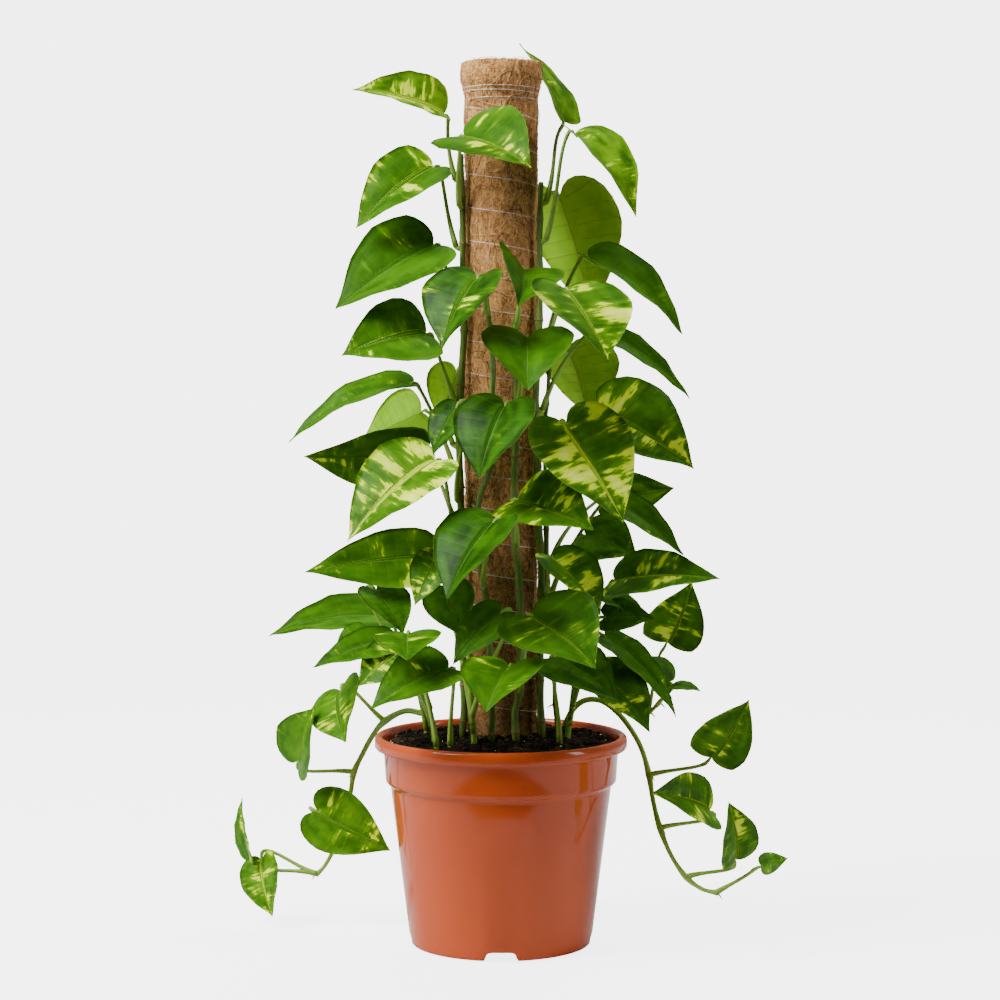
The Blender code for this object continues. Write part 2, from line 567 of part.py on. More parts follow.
def build_pole():
    turn("pole_core", "core", [(0.0, POLE_BOTTOM), (CORE_RADIUS, POLE_BOTTOM),
                               (CORE_RADIUS, POLE_TOP - 6.0), (CORE_RADIUS - 1.0, POLE_TOP - 5.0),
                               (0.0, POLE_TOP - 5.0)], POLE_SEGMENTS)
    inner = CORE_RADIUS + GAP
    turn("coir_sleeve", "coir", [
        (inner, POLE_BOTTOM), (POLE_RADIUS, POLE_BOTTOM), (POLE_RADIUS, 300.0), (POLE_RADIUS, POLE_TOP - 50.0), (POLE_RADIUS + 0.4, POLE_TOP - 24.0),
        (POLE_RADIUS + 2.2, POLE_TOP - 14.0), (POLE_FLARE, POLE_TOP - 7.0), (POLE_FLARE - 2.0, POLE_TOP - 1.0),
        (POLE_FLARE - 6.0, POLE_TOP), (inner + 2.0, POLE_TOP - 1.0), (inner, POLE_TOP - 3.0)], POLE_SEGMENTS)
    # binding thread: a helix, tied off with closer turns near the top
    turns = (THREAD_HIGH - THREAD_LOW) / THREAD_PITCH
    count = int(round(turns * THREAD_STEPS))
    radius = (POLE_RADIUS + GAP + THREAD_RADIUS) / math.cos(math.pi / THREAD_STEPS)
    points = []
    for k in range(count + 1):
        a = math.radians(-15.0) + 2.0 * math.pi * k / THREAD_STEPS
        z = THREAD_LOW + THREAD_PITCH * k / THREAD_STEPS
        points.append(Vector((radius * math.cos(a), -radius * math.sin(a), z)))
    verts, faces = capped_tube(points, [THREAD_RADIUS] * len(points), 3)
    make_object("binding_thread", "thread", verts, faces)


STEM_PATHS = {}


def build_stems():
    for name, (radius, stations) in STEMS.items():
        pts = [station(*s) for s in stations]
        pts = [keep_off_pole(p, radius + GAP) for p in pts]
        foot = pts[-1]
        low = soil_level(foot.x, foot.y) + GAP
        pts.append(Vector((foot.x * 1.04, foot.y * 1.04, low)))
        path = smooth_path(pts, 1)
        path = [keep_off_pole(p, radius + GAP) for p in path]
        path[-1].z = low
        STEM_PATHS[name] = (radius, path)
        radii = [radius * (0.72 + 0.28 * min(1.0, i / 5.0)) for i in range(len(path))]
        verts, faces = capped_tube(path, radii, 6)
        # square the foot off level with the soil
        for v in verts[-6:]:
            v.z = low
        make_object(name, "stem", verts, faces)


def node_on_stem(stem, down, towards):
    """Start of a petiole: just clear of the stem, on the leaf's side."""
    radius, path = STEM_PATHS[stem]
    height = station(SHEET_CENTRE, down, path[0].y).z
    best = min(path, key=lambda p: abs(p.z - height))
    i = path.index(best)
    other = path[i + 1] if height < best.z and i + 1 < len(path) else path[max(i - 1, 0)]
    t = 0.0 if abs(other.z - best.z) < 1e-6 else (height - best.z) / (other.z - best.z)
    centre = best.lerp(other, min(max(t, 0.0), 1.0))
    outward = Vector((centre.x, centre.y, 0.0)).normalized()
    lead = Vector((towards.x - centre.x, towards.y - centre.y, 0.0)).normalized()
    direction = (lead * 0.8 + outward * 0.6).normalized()
    start = centre + direction * (radius + GAP + PETIOLE_RADIUS * 1.2)
    return start, (direction * 0.3 + Vector((0, 0, 0.9))).normalized()


def build_leaves():
    for name, stem, node, base, tip, width, compass, rise, fold, arch in LEAVES:
        b, t = station(*base), station(*tip)
        if stem == "soil":
            ground = soil_station(*node)
            start = ground + Vector((0, 0, GAP + 1.2))
            lean = (b - start).normalized()
            direction = (lean * 0.5 + Vector((0, 0, 0.8))).normalized()
        else:
            start, direction = node_on_stem(stem, node, b)
        verts, faces = leaf_solid(start, direction, b, t, width, compass, rise, fold, arch,
                                  LOBES.get(name, 1.0), name not in ARCHED)
        make_object(name, "leaf", verts, faces)


def build_shoots():
    for name, (ground, height, leaves) in SHOOTS.items():
        foot = soil_station(*ground) + Vector((0, 0, GAP))
        lean = Vector((foot.x, foot.y, 0)).normalized() * 5.0
        path = [foot, foot + Vector((0, 0, height * 0.4)) + lean * 0.3,
                foot + Vector((0, 0, height * 0.75)) + lean * 0.7, foot + Vector((0, 0, height)) + lean]
        solids = [capped_tube(path, [2.8, 2.6, 2.4, 2.0], 6)]
        for i, (base, tip, width, compass, rise, fold, arch) in enumerate(leaves):
            b, t = station(*base), station(*tip)
            part = 0.30 + 0.55 * i / max(len(leaves) - 1, 1)
            start = foot + Vector((0, 0, height * part)) + lean * part * 0.9
            lean_to = (b - start).normalized()
            direction = (lean_to * 0.75 + Vector((0, 0, 0.5))).normalized()
            lobes = LOBES.get(f"{name}:{i}", 1.0)
            solids.append(leaf_solid(start, direction, b, t, width, compass, rise, fold, arch, lobes))
        join(name, "leaf", solids)


def build_vines():
    for name, (radius, stations, leaves) in VINES.items():
        pts = [station(*s) for s in stations]
        path = smooth_path(pts, 1)
        radii = [radius * (1.0 - 0.35 * i / len(path)) for i in range(len(path))]
        solids = [capped_tube(path, radii, 6)]
        for i, (at, base, tip, width, compass, rise, fold, arch) in enumerate(leaves):
            b, t = station(*base), station(*tip)
            start = pts[at] if at < len(pts) - 1 else pts[at].lerp(pts[at - 1], 0.12)
            direction = (b - start).normalized()
            lobes = LOBES.get(f"{name}:{i}", 1.0)
            solids.append(leaf_solid(start, direction, b, t, width, compass, rise, fold, arch, lobes))
        join(name, "vine", solids)


def main():
    for obj in list(bpy.data.objects):
        bpy.data.objects.remove(obj, do_unlink=True)
    build_pot()
    build_soil()
    build_pole()
    build_stems()
    build_leaves()
    build_shoots()
    build_vines()


main()
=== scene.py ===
import math
import random

import bpy
import bmesh
import numpy as np
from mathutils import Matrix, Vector, noise


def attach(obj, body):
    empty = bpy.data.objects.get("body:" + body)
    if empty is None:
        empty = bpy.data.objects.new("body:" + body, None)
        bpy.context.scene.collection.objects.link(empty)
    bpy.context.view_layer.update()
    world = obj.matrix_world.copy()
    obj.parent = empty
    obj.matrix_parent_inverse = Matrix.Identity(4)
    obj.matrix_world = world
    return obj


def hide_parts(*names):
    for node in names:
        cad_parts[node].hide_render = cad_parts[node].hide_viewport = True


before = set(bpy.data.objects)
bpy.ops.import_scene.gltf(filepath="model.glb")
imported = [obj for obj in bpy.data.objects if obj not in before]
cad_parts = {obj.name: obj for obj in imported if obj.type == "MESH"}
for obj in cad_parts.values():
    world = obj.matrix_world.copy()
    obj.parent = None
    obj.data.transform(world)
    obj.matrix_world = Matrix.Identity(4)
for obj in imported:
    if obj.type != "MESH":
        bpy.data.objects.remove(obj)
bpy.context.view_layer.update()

MM = 0.001

# ---------------------------------------------------------------- sizes (mm)
POT_HEIGHT = 174.0
RIM_RADIUS = 105.0
RIM_INNER_RADIUS = 98.5
RIM_BAND = 11.0
COLLAR_TOP_RADIUS = 97.5
COLLAR_LOW_RADIUS = 96.0
COLLAR_LOW = 135.0
BODY_TOP_RADIUS = 91.5
BODY_LOW_RADIUS = 76.5
FOOT_RADIUS = 72.5
WALL = 1.6
SOIL_EDGE = 169.0
SOIL_CROWN = 177.0
POLE_RADIUS = 30.5
POLE_TOP = 730.0
POLE_FLARE = 34.0
THREAD_PITCH = 27.0

SHEET_CENTRE = 500.0
SHEET_FOCAL = 2520.0
SHEET_TILT = math.radians(3.13)
SHEET_EYE = (-0.8, -2083.0, 483.0)

# Climbing stems: radius, then stations from the top down; the last one runs
# on into the soil.
STEMS = {
    "stem_left": (2.9, [(461, 154, -18), (463, 232, -18), (463, 262, -18), (465, 300, -18),
                        (466, 330, -19), (462, 362, -19), (460, 400, -19), (459, 440, -19),
                        (460, 480, -19), (461, 540, -19), (462, 600, -19), (463, 660, -19),
                        (464, 705, -20)]),
    "stem_centre_left": (2.5, [(486, 292, -38), (489, 320, -38), (492, 350, -38), (493, 375, -38),
                               (492, 400, -38), (497, 440, -38), (490, 470, -38), (483, 487, -38),
                               (478, 510, -38), (480, 560, -38), (486, 600, -38), (490, 650, -38),
                               (492, 700, -40)]),
    "stem_centre_right": (3.0, [(514, 318, -38), (516, 350, -38), (517, 400, -38), (515, 450, -38),
                                (514, 500, -38), (514, 530, -38), (517, 560, -38), (520, 600, -38),
                                (520, 640, -38), (519, 690, -39), (515, 712, -40)]),
    "stem_right": (2.9, [(541, 182, -18), (540, 215, -18), (539, 250, -18), (540, 290, -18),
                         (538, 330, -19), (535, 370, -20), (533, 400, -21), (534, 430, -21),
                         (536, 460, -20), (538, 520, -19), (541, 570, -19), (541, 620, -19),
                         (540, 680, -20)]),
    "stem_right_thin": (1.9, [(549, 332, -4), (549, 370, -4), (547, 400, -4), (545, 430, -4),
                              (545, 470, -4), (546, 520, -4), (548, 600, -3), (553, 660, -2),
                              (555, 700, 0)]),
    "stem_back": (2.9, [(500, 205, 37), (496, 260, 37), (503, 330, 37), (498, 400, 37),
                        (503, 480, 37), (499, 560, 37), (502, 640, 37), (500, 700, 38)]),
}

# Leaves on their own petioles: name, stem and the height its node is at (or
# "soil" and where it comes up), blade base, blade tip, blade width, compass
# angle and rise of the upper face's normal, V fold and arch in degrees.
LEAVES = [
    ("leaf_left_01", "stem_left", 180, (443, 114, -22), (352, 90, -42), 66, 18, 53, 26, 25),
    ("leaf_front_01", "stem_left", 206, (464, 136, -52), (532, 168, -106), 80, 18, 28, 20, 30),
    ("leaf_left_02", "stem_left", 247, (433, 168, 4), (356, 229, -22), 72, -28, 30, 22, 30),
    ("leaf_left_03", "stem_left", 306, (433, 246, -6), (336, 310, -34), 86, -26, 31, 20, 25),
    ("leaf_left_04", "stem_centre_left", 312, (477, 279, -66), (442, 349, -92), 80, -42, 18, 20, 30),
    ("leaf_left_05", "stem_left", 400, (426, 334, -22), (341, 356, -48), 78, -14, 36, 18, 25),
    ("leaf_left_06", "stem_left", 466, (410, 384, -12), (289, 443, -34), 46, -42, 54, 18, 42),
    ("leaf_left_07", "stem_left", 445, (421, 412, 22), (362, 440, 42), 50, 170, 12, 12, 25),
    ("leaf_left_08", "stem_back", 430, (457, 372, 44), (440, 424, 62), 46, 190, 10, 14, 25),
    ("leaf_left_09", "stem_left", 520, (421, 455, -4), (303, 458, -26), 60, -6, -18, 18, 20),
    ("leaf_left_10", "stem_left", 545, (434, 462, -58), (347, 542, -88), 86, -36, 29, 20, 28),
    ("leaf_left_11", "stem_left", 500, (456, 408, -46), (433, 455, -56), 38, -35, 24, 10, 25),
    ("leaf_front_02", "stem_centre_left", 460, (505, 406, -72), (479, 480, -100), 76, -32, 12, 18, 28),
    ("leaf_front_03", "stem_centre_right", 325, (524, 270, -52), (519, 307, -112), 68, 38, 50, 32, 30),
    ("leaf_front_04", "stem_centre_right", 400, (527, 338, -66), (527, 392, -124), 78, 2, 38, 20, 30),
    ("leaf_front_05", "stem_centre_left", 585, (493, 523, -102), (446, 600, -136), 78, -42, 22, 21, 28),
    ("leaf_front_06", "stem_centre_right", 545, (518, 500, -54), (593, 531, -94), 78, 18, 36, 18, 30),
    ("leaf_right_01", "stem_right", 202, (562, 119, 16), (518, 43, 58), 50, 62, 26, 20, 20),
    ("leaf_right_02", "stem_right", 240, (575, 134, -14), (636, 217, -44), 72, 52, 31, 24, 28),
    ("leaf_right_03", "stem_back", 230, (559, 197, 46), (590, 316, 66), 92, 152, 10, 16, 28),
    ("leaf_right_04", "stem_right", 350, (589, 258, 14), (683, 334, -8), 68, 48, 42, 22, 32),
    ("leaf_right_05", "stem_right", 370, (569, 291, -92), (607, 360, -138), 90, 34, 18, 16, 25),
    ("leaf_right_06", "stem_right", 410, (598, 330, 28), (690, 399, 8), 32, 38, 38, 14, 35),
    ("leaf_right_07", "stem_back", 380, (568, 350, 48), (588, 420, 64), 82, 144, 12, 18, 25),
    ("leaf_right_08", "stem_right", 500, (600, 407, -14), (695, 469, -46), 88, 24, 30, 14, 28),
    ("leaf_right_09", "stem_right", 520, (566, 424, -64), (623, 523, -96), 88, 26, 14, 12, 25),
    ("leaf_right_10", "stem_right_thin", 560, (606, 498, 30), (675, 489, 22), 42, 8, 10, 10, 25),
    ("leaf_right_11", "stem_right_thin", 590, (612, 500, -22), (683, 556, -46), 38, 28, 44, 14, 30),
    ("leaf_right_12", "stem_right_thin", 640, (586, 536, 28), (637, 556, 6), 60, 6, 42, 10, 30),
    ("leaf_right_13", "stem_right", 600, (554, 559, -30), (601, 616, -56), 62, 44, 27, 20, 25),
    ("leaf_right_14", "stem_right_thin", 652, (616, 580, -18), (720, 580, -62), 58, 10, 46, 12, 30),
    ("leaf_front_07", "stem_centre_right", 690, (533, 616, -84), (597, 668, -128), 88, 24, 27, 14, 32),
    ("leaf_right_15", "soil", (560, -44), (556, 658, -60), (618, 702, -96), 60, 8, 58, 10, 35),
    ("leaf_low_01", "stem_left", 630, (430, 558, -2), (304, 571, -34), 54, -8, 20, 12, 22),
    ("leaf_low_02", "soil", (426, 22), (386, 617, 26), (268, 635, -8), 54, -16, 54, 14, 35),
    ("leaf_low_03", "soil", (436, -58), (408, 634, -92), (407, 661, -134), 54, -4, 66, 10, 30),
    ("leaf_low_04", "soil", (450, -58), (448, 669, -88), (370, 710, -118), 62, -32, 42, 18, 25),
    ("leaf_front_08", "stem_centre_left", 690, (509, 667, -96), (486, 713, -142), 72, -20, 32, 20, 30),
    ("leaf_back_01", "stem_back", 250, (492, 222, 66), (486, 292, 96), 54, 188, 20, 14, 30),
    ("leaf_back_02", "stem_back", 340, (508, 312, 70), (500, 384, 104), 58, 184, 22, 14, 30),
    ("leaf_back_03", "stem_back", 440, (512, 412, 68), (520, 486, 100), 58, 170, 20, 14, 30),
    ("leaf_back_04", "stem_back", 530, (494, 500, 70), (486, 580, 104), 60, 188, 24, 14, 30),
    ("leaf_back_05", "stem_back", 620, (508, 596, 68), (514, 676, 108), 60, 174, 26, 14, 30),
]

# Young shoots from the soil: where the shoot comes up, its height, then its
# leaves as above without name or node.
SHOOTS = {
    "shoot_left": ((434, -26), 30, [
        ((376, 591, -20), (404, 635, -44), 48, 38, 22, 16, 25),
        ((393, 641, -34), (313, 668, -62), 38, -16, 44, 12, 32),
        ((366, 632, -26), (335, 647, -34), 32, -20, 50, 10, 20),
        ((398, 654, -52), (358, 687, -66), 44, -24, 26, 12, 25),
    ]),
    "shoot_front": ((474, -46), 24, [
        ((440, 556, -74), (415, 606, -94), 38, -20, 22, 12, 25),
        ((446, 588, -50), (460, 636, -60), 44, -8, 24, 12, 25),
        ((500, 614, -62), (452, 664, -78), 42, -20, 34, 14, 30),
    ]),
    "shoot_right": ((568, -14), 30, [
        ((606, 596, -6), (648, 617, -22), 22, 16, 50, 10, 30),
        ((606, 617, -18), (655, 619, -34), 34, 10, 34, 12, 25),
        ((606, 638, -26), (677, 717, -60), 34, 36, 42, 14, 42),
        ((600, 670, -46), (650, 732, -84), 54, 26, 28, 12, 28),
    ]),
}

# Trailing vines: radius, stations from the soil outwards, then leaves as
# (where the petiole leaves the vine, base, tip, width, compass, rise, fold, arch).
VINES = {
    "vine_left": (2.6, [(425, 714, 30), (405, 711, 42), (385, 721, 54), (373, 735, 60), (362, 755, 62),
                        (354, 772, 62), (351, 790, 62), (347, 812, 62), (338, 840, 62), (326, 864, 62),
                        (316, 875, 62)], [
        (2, (341, 691, 48), (345, 743, 12), 66, -40, 6, 18, 22),
        (5, (298, 761, 62), (315, 707, 40), 62, -50, 10, 20, 20),
        (8, (318, 812, 52), (391, 850, 42), 56, -4, 10, 8, 20),
        (10, (250, 857, 66), (242, 798, 62), 32, -62, 10, 16, 20),
        (10, (262, 861, 62), (273, 917, 46), 48, -38, 2, 18, 20),
    ]),
    "vine_right": (2.6, [(566, 722, 16), (574, 708, 18), (586, 700, 20), (602, 701, 22), (618, 713, 24),
                         (632, 731, 20), (642, 750, 10), (649, 775, -2), (653, 800, -14), (660, 828, -28),
                         (671, 855, -40), (686, 877, -50), (702, 889, -56), (718, 893, -60)], [
        (7, (711, 757, -34), (750, 700, -38), 52, 18, -4, 8, 20),
        (9, (709, 811, -40), (652, 793, -66), 60, 24, 46, 22, 20),
        (11, (735, 859, -54), (728, 802, -68), 50, 44, 2, 18, 20),
        (13, (762, 866, -60), (788, 858, -62), 20, 0, 40, 10, 20),
    ]),
    "vine_side": (1.7, [(636, 719, 40), (648, 713, 34), (658, 704, 28), (668, 692, 20)], [
        (1, (667, 642, 6), (693, 582, 0), 52, 12, 2, 10, 20),
        (2, (669, 681, 4), (640, 657, -10), 30, -10, 40, 10, 20),
        (3, (673, 686, 0), (701, 691, -14), 20, 30, 56, 10, 20),
    ]),
}

# How far a blade's two lobes reach back behind its base, where that differs
# from the usual heart shape (1.0).  Leaves of a shoot or vine are numbered.
LOBES = {
    "leaf_left_01": 0.35, "leaf_left_02": 0.5, "leaf_left_03": 0.6, "leaf_left_05": 0.4,
    "leaf_left_06": 0.4, "leaf_left_07": 0.5, "leaf_left_09": 0.5, "leaf_left_10": 0.7,
    "leaf_right_01": 0.4, "leaf_right_02": 0.35, "leaf_right_04": 0.5, "leaf_right_06": 0.5,
    "leaf_right_11": 0.6, "leaf_front_04": 1.3, "leaf_front_08": 1.3, "leaf_low_02": 0.6,
    "leaf_low_04": 0.6, "leaf_front_06": 0.4, "leaf_right_14": 0.5, "leaf_low_01": 0.7, "shoot_left:1": 0.5, "shoot_right:0": 0.5, "shoot_right:2": 0.5,
    "vine_left:3": 0.5, "vine_right:0": 0.35, "vine_right:1": 0.6, "vine_right:2": 0.5,
    "vine_right:3": 0.6, "vine_side:0": 0.35, "vine_side:2": 0.6,
}

# Leaves whose petiole runs on behind the blade before it turns to the stem.
ARCHED = ("leaf_low_01", "leaf_low_03", "leaf_left_11", "leaf_back_01", "leaf_back_02", "leaf_back_03", "leaf_back_04", "leaf_back_05")


# how much cream and yellow each leaf carries: amount, seed
VARIEGATION = {
    "leaf_left_01": (0.55, 1), "leaf_front_01": (0.42, 2), "leaf_left_02": (0.50, 3), "leaf_left_03": (0.04, 4),
    "leaf_left_04": (0.36, 5), "leaf_left_05": (0.36, 6), "leaf_left_06": (0.03, 7), "leaf_left_07": (0.0, 8),
    "leaf_left_08": (0.0, 9), "leaf_left_09": (0.45, 10), "leaf_left_10": (0.72, 11), "leaf_left_11": (0.2, 12),
    "leaf_front_02": (0.03, 13), "leaf_front_03": (0.05, 14), "leaf_front_04": (0.02, 15), "leaf_front_05": (0.0, 16),
    "leaf_front_06": (0.58, 17), "leaf_right_01": (0.32, 18), "leaf_right_02": (0.30, 19), "leaf_right_03": (0.05, 20),
    "leaf_right_04": (0.04, 21), "leaf_right_05": (0.44, 22), "leaf_right_06": (0.0, 23), "leaf_right_07": (0.0, 24),
    "leaf_right_08": (0.42, 25), "leaf_right_09": (0.70, 26), "leaf_right_10": (0.0, 27), "leaf_right_11": (0.05, 28),
    "leaf_right_12": (0.08, 29), "leaf_right_13": (0.52, 30), "leaf_right_14": (0.50, 31), "leaf_front_07": (0.42, 32),
    "leaf_right_15": (0.05, 33), "leaf_low_01": (0.32, 34), "leaf_low_02": (0.03, 35), "leaf_low_03": (0.22, 36),
    "leaf_low_04": (0.18, 37), "leaf_front_08": (0.16, 38), "leaf_back_01": (0.3, 39), "leaf_back_02": (0.5, 40),
    "leaf_back_03": (0.2, 41), "leaf_back_04": (0.6, 42), "leaf_back_05": (0.3, 43),
}
GROUP_VARIEGATION = {
    "shoot_left": ((0.0, 50), (0.12, 51), (0.02, 52), (0.6, 53)),
    "shoot_front": ((0.45, 54), (0.0, 55), (0.1, 56)),
    "shoot_right": ((0.12, 57), (0.2, 58), (0.05, 59), (0.38, 60)),
    "vine_left": ((0.35, 61), (0.38, 62), (0.32, 63), (0.5, 64), (0.6, 65)),
    "vine_right": ((0.36, 66), (0.42, 67), (0.4, 68), (0.3, 69)),
    "vine_side": ((0.6, 70), (0.0, 71), (0.1, 72)),
}


# ---------------------------------------------------------------- shader help
class Nodes:
    """Small helper for building a shader tree."""

    def __init__(self, name):
        self.mat = bpy.data.materials.new(name)
        self.mat.use_nodes = True
        self.tree = self.mat.node_tree
        self.shader = self.tree.nodes["Principled BSDF"]
        self.out = self.tree.nodes["Material Output"]

    def node(self, kind, **values):
        n = self.tree.nodes.new(kind)
        for key, value in values.items():
            setattr(n, key, value)
        return n

    def link(self, a, b):
        self.tree.links.new(a, b)

    def put(self, socket, value):
        if isinstance(value, bpy.types.NodeSocket):
            self.link(value, socket)
        else:
            socket.default_value = value

    def math(self, op, a, b=None, c=None, clamp=False):
        n = self.node("ShaderNodeMath", operation=op, use_clamp=clamp)
        self.put(n.inputs[0], a)
        if b is not None:
            self.put(n.inputs[1], b)
        if c is not None:
            self.put(n.inputs[2], c)
        return n.outputs[0]

    def ramp(self, value, low, high, smooth=True):
        n = self.node("ShaderNodeMapRange", interpolation_type="SMOOTHSTEP" if smooth else "LINEAR")
        self.put(n.inputs["Value"], value)
        n.inputs["From Min"].default_value = low
        n.inputs["From Max"].default_value = high
        return n.outputs["Result"]

    def mix(self, factor, a, b, mode="MIX"):
        n = self.node("ShaderNodeMix", data_type="RGBA", blend_type=mode)
        self.put(n.inputs[0], factor)
        self.put(n.inputs[6], (*a, 1.0) if isinstance(a, tuple) else a)
        self.put(n.inputs[7], (*b, 1.0) if isinstance(b, tuple) else b)
        return n.outputs[2]

    def noise(self, vector, scale, detail=3.0, rough=0.5, distortion=0.0, dims="3D", w=None):
        n = self.node("ShaderNodeTexNoise", noise_dimensions=dims)
        if vector is not None:
            self.link(vector, n.inputs["Vector"])
        n.inputs["Scale"].default_value = scale
        n.inputs["Detail"].default_value = detail
        n.inputs["Roughness"].default_value = rough
        n.inputs["Distortion"].default_value = distortion
        if w is not None:
            n.inputs["W"].default_value = w
        return n.outputs["Fac"]

    def mapped(self, vector, scale=(1, 1, 1), location=(0, 0, 0)):
        n = self.node("ShaderNodeMapping")
        self.link(vector, n.inputs["Vector"])
        n.inputs["Scale"].default_value = scale
        n.inputs["Location"].default_value = location
        return n.outputs[0]

    def uv(self, name):
        return self.node("ShaderNodeUVMap", uv_map=name).outputs[0]

    def coord(self):
        return self.node("ShaderNodeTexCoord").outputs["Object"]

    def bump(self, height, strength, distance, normal=None):
        n = self.node("ShaderNodeBump")
        self.link(height, n.inputs["Height"])
        n.inputs["Strength"].default_value = strength
        n.inputs["Distance"].default_value = distance
        if normal is not None:
            self.link(normal, n.inputs["Normal"])
        return n.outputs[0]

    def set(self, **values):
        for key, value in values.items():
            self.put(self.shader.inputs[key.replace("_", " ")], value)
        return self.mat


def rgb(r, g, b):
    """8-bit display colour to linear."""
    def lin(c):
        c /= 255.0
        return c / 12.92 if c <= 0.04045 else ((c + 0.055) / 1.055) ** 2.4
    return (lin(r), lin(g), lin(b))


GREEN_DEEP = (0.011, 0.048, 0.0010)
GREEN_MID = (0.034, 0.132, 0.0018)
GREEN_LIGHT = (0.175, 0.390, 0.0040)
YELLOW = (0.62, 0.80, 0.010)
CREAM = (0.80, 0.88, 0.13)


def leaf_top(name, amount, seed, young=0.0, dark=0.0):
    """Upper side: green, streaked along the veins with yellow and cream."""
    k = Nodes(name)
    vein = k.uv("vein")
    sep = k.node("ShaderNodeSeparateXYZ")
    k.link(vein, sep.inputs[0])
    along, out = sep.outputs[0], sep.outputs[1]
    shift = (seed * 3.17 % 11.0, seed * 1.73 % 7.0, seed * 0.61)
    # streaks: long along a side vein, narrow across it
    streak = k.noise(k.mapped(vein, (13.0, 0.85, 1.0), shift), 1.0, 3.0, 0.55, 0.25)
    patch = k.noise(k.mapped(vein, (3.0, 0.9, 1.0), (shift[1], shift[2], shift[0])), 1.0, 2.0, 0.5, 0.15)
    fleck = k.noise(k.mapped(vein, (64.0, 4.5, 1.0), (shift[2], shift[0], shift[1])), 1.0, 3.0, 0.65, 0.15)
    blend = k.math("ADD", k.math("MULTIPLY", streak, 0.50), k.math("MULTIPLY", patch, 0.62))
    blend = k.math("ADD", blend, k.math("MULTIPLY", fleck, 0.15))
    level = 0.838 - 0.24 * amount if amount > 0.015 else 1.6
    yellow = k.ramp(blend, level - 0.012, level + 0.022)
    cream = k.ramp(blend, level + 0.035, level + 0.11)
    tone = k.noise(k.mapped(vein, (3.0, 2.0, 1.0), shift), 1.2, 3.0)
    # dark is painted shade: the green is pulled towards GREEN_DEEP on leaves that lie in shade
    deep = tuple(a * (1 - dark) + b * dark for a, b in zip(GREEN_MID, GREEN_DEEP))
    light = tuple(a * (1 - young) + b * young for a, b in zip(GREEN_MID, GREEN_LIGHT))
    base = k.mix(k.ramp(tone, 0.30, 0.72), tuple(c * 0.80 for c in deep), light)
    # paler band hugging the streaks, so they bleed into the green
    halo = k.ramp(blend, level - 0.10, level + 0.015)
    base = k.mix(k.math("MULTIPLY", halo, 0.5 if amount > 0.015 else 0.0), base, GREEN_LIGHT)
    colour = k.mix(yellow, base, YELLOW)
    colour = k.mix(cream, colour, CREAM)
    # veins
    veins = k.math("ABSOLUTE", k.math("SINE", k.math("MULTIPLY", along, 26.0)))
    fine = k.ramp(veins, 0.16, 0.0)
    colour = k.mix(k.math("MULTIPLY", fine, 0.10), colour, GREEN_LIGHT)
    mid = k.ramp(k.math("ABSOLUTE", out), 0.020, 0.004)
    colour = k.mix(k.math("MULTIPLY", mid, 0.40), colour, (0.16, 0.30, 0.05))
    rim = k.ramp(k.math("ABSOLUTE", out), 0.984, 0.997)
    colour = k.mix(k.math("MULTIPLY", rim, 0.45), colour, (0.30, 0.42, 0.10))
    height = k.math("SUBTRACT", k.math("MULTIPLY", veins, 0.5), k.math("MULTIPLY", mid, 1.0))
    normal = k.bump(height, 0.40, 0.0008)
    pebble = k.noise(k.coord(), 420.0, 2.0)
    normal = k.bump(pebble, 0.10, 0.0002, normal)
    return k.set(Base_Color=colour, Roughness=0.40, Specular_IOR_Level=0.07, Normal=normal)


def leaf_under(name, amount, seed):
    """Underside: matt olive, with raised pale veins. Its base colour is the underside's own paler green lifted further
    as painted light, standing in for light shining through the leaf.
    """
    k = Nodes(name)
    vein = k.uv("vein")
    sep = k.node("ShaderNodeSeparateXYZ")
    k.link(vein, sep.inputs[0])
    along, out = sep.outputs[0], sep.outputs[1]
    tone = k.noise(k.mapped(vein, (4.0, 2.0, 1.0), (seed * 1.3 % 9.0, seed * 0.7 % 5.0, 0.0)), 1.2, 3.0)
    # painted light: the underside's own paler green is lifted further to stand in for light shining through the leaf
    # from behind
    base = k.mix(k.ramp(tone, 0.3, 0.7), (0.220, 0.480, 0.0075), (0.290, 0.560, 0.0140))
    streak = k.noise(k.mapped(vein, (9.0, 1.5, 1.0), (seed * 3.17 % 11.0, seed * 1.73 % 7.0, seed * 0.61)), 1.0, 4.0, 0.62, 0.35)
    level = 0.78 - 0.34 * amount if amount > 0.001 else 1.4
    base = k.mix(k.math("MULTIPLY", k.ramp(streak, level - 0.05, level + 0.05), 0.6), base, (0.30, 0.36, 0.05))
    veins = k.math("ABSOLUTE", k.math("SINE", k.math("MULTIPLY", along, 26.0)))
    fine = k.ramp(veins, 0.2, 0.0)
    base = k.mix(k.math("MULTIPLY", fine, 0.25), base, (0.13, 0.22, 0.03))
    mid = k.ramp(k.math("ABSOLUTE", out), 0.03, 0.006)
    base = k.mix(k.math("MULTIPLY", mid, 0.6), base, (0.20, 0.30, 0.06))
    normal = k.bump(k.math("ADD", fine, mid), 0.5, 0.0006)
    return k.set(Base_Color=base, Roughness=0.55, Specular_IOR_Level=0.12, Normal=normal)


def stem_material(name, base=rgb(96, 128, 52), other=rgb(134, 150, 76)):
    """Green stem, lined along its length; u runs along it in metres."""
    k = Nodes(name)
    uv = k.uv("length")
    lines = k.noise(k.mapped(uv, (30.0, 9.0, 1.0)), 1.0, 3.0)
    blot = k.noise(k.mapped(uv, (16.0, 1.0, 1.0), (3, 1, 0)), 1.0, 3.0)
    colour = k.mix(k.ramp(lines, 0.35, 0.7), base, other)
    colour = k.mix(k.math("MULTIPLY", k.ramp(blot, 0.62, 0.75), 0.45), colour, (0.17, 0.115, 0.035))
    normal = k.bump(lines, 0.35, 0.0006)
    return k.set(Base_Color=colour, Roughness=0.48, Specular_IOR_Level=0.4, Normal=normal)


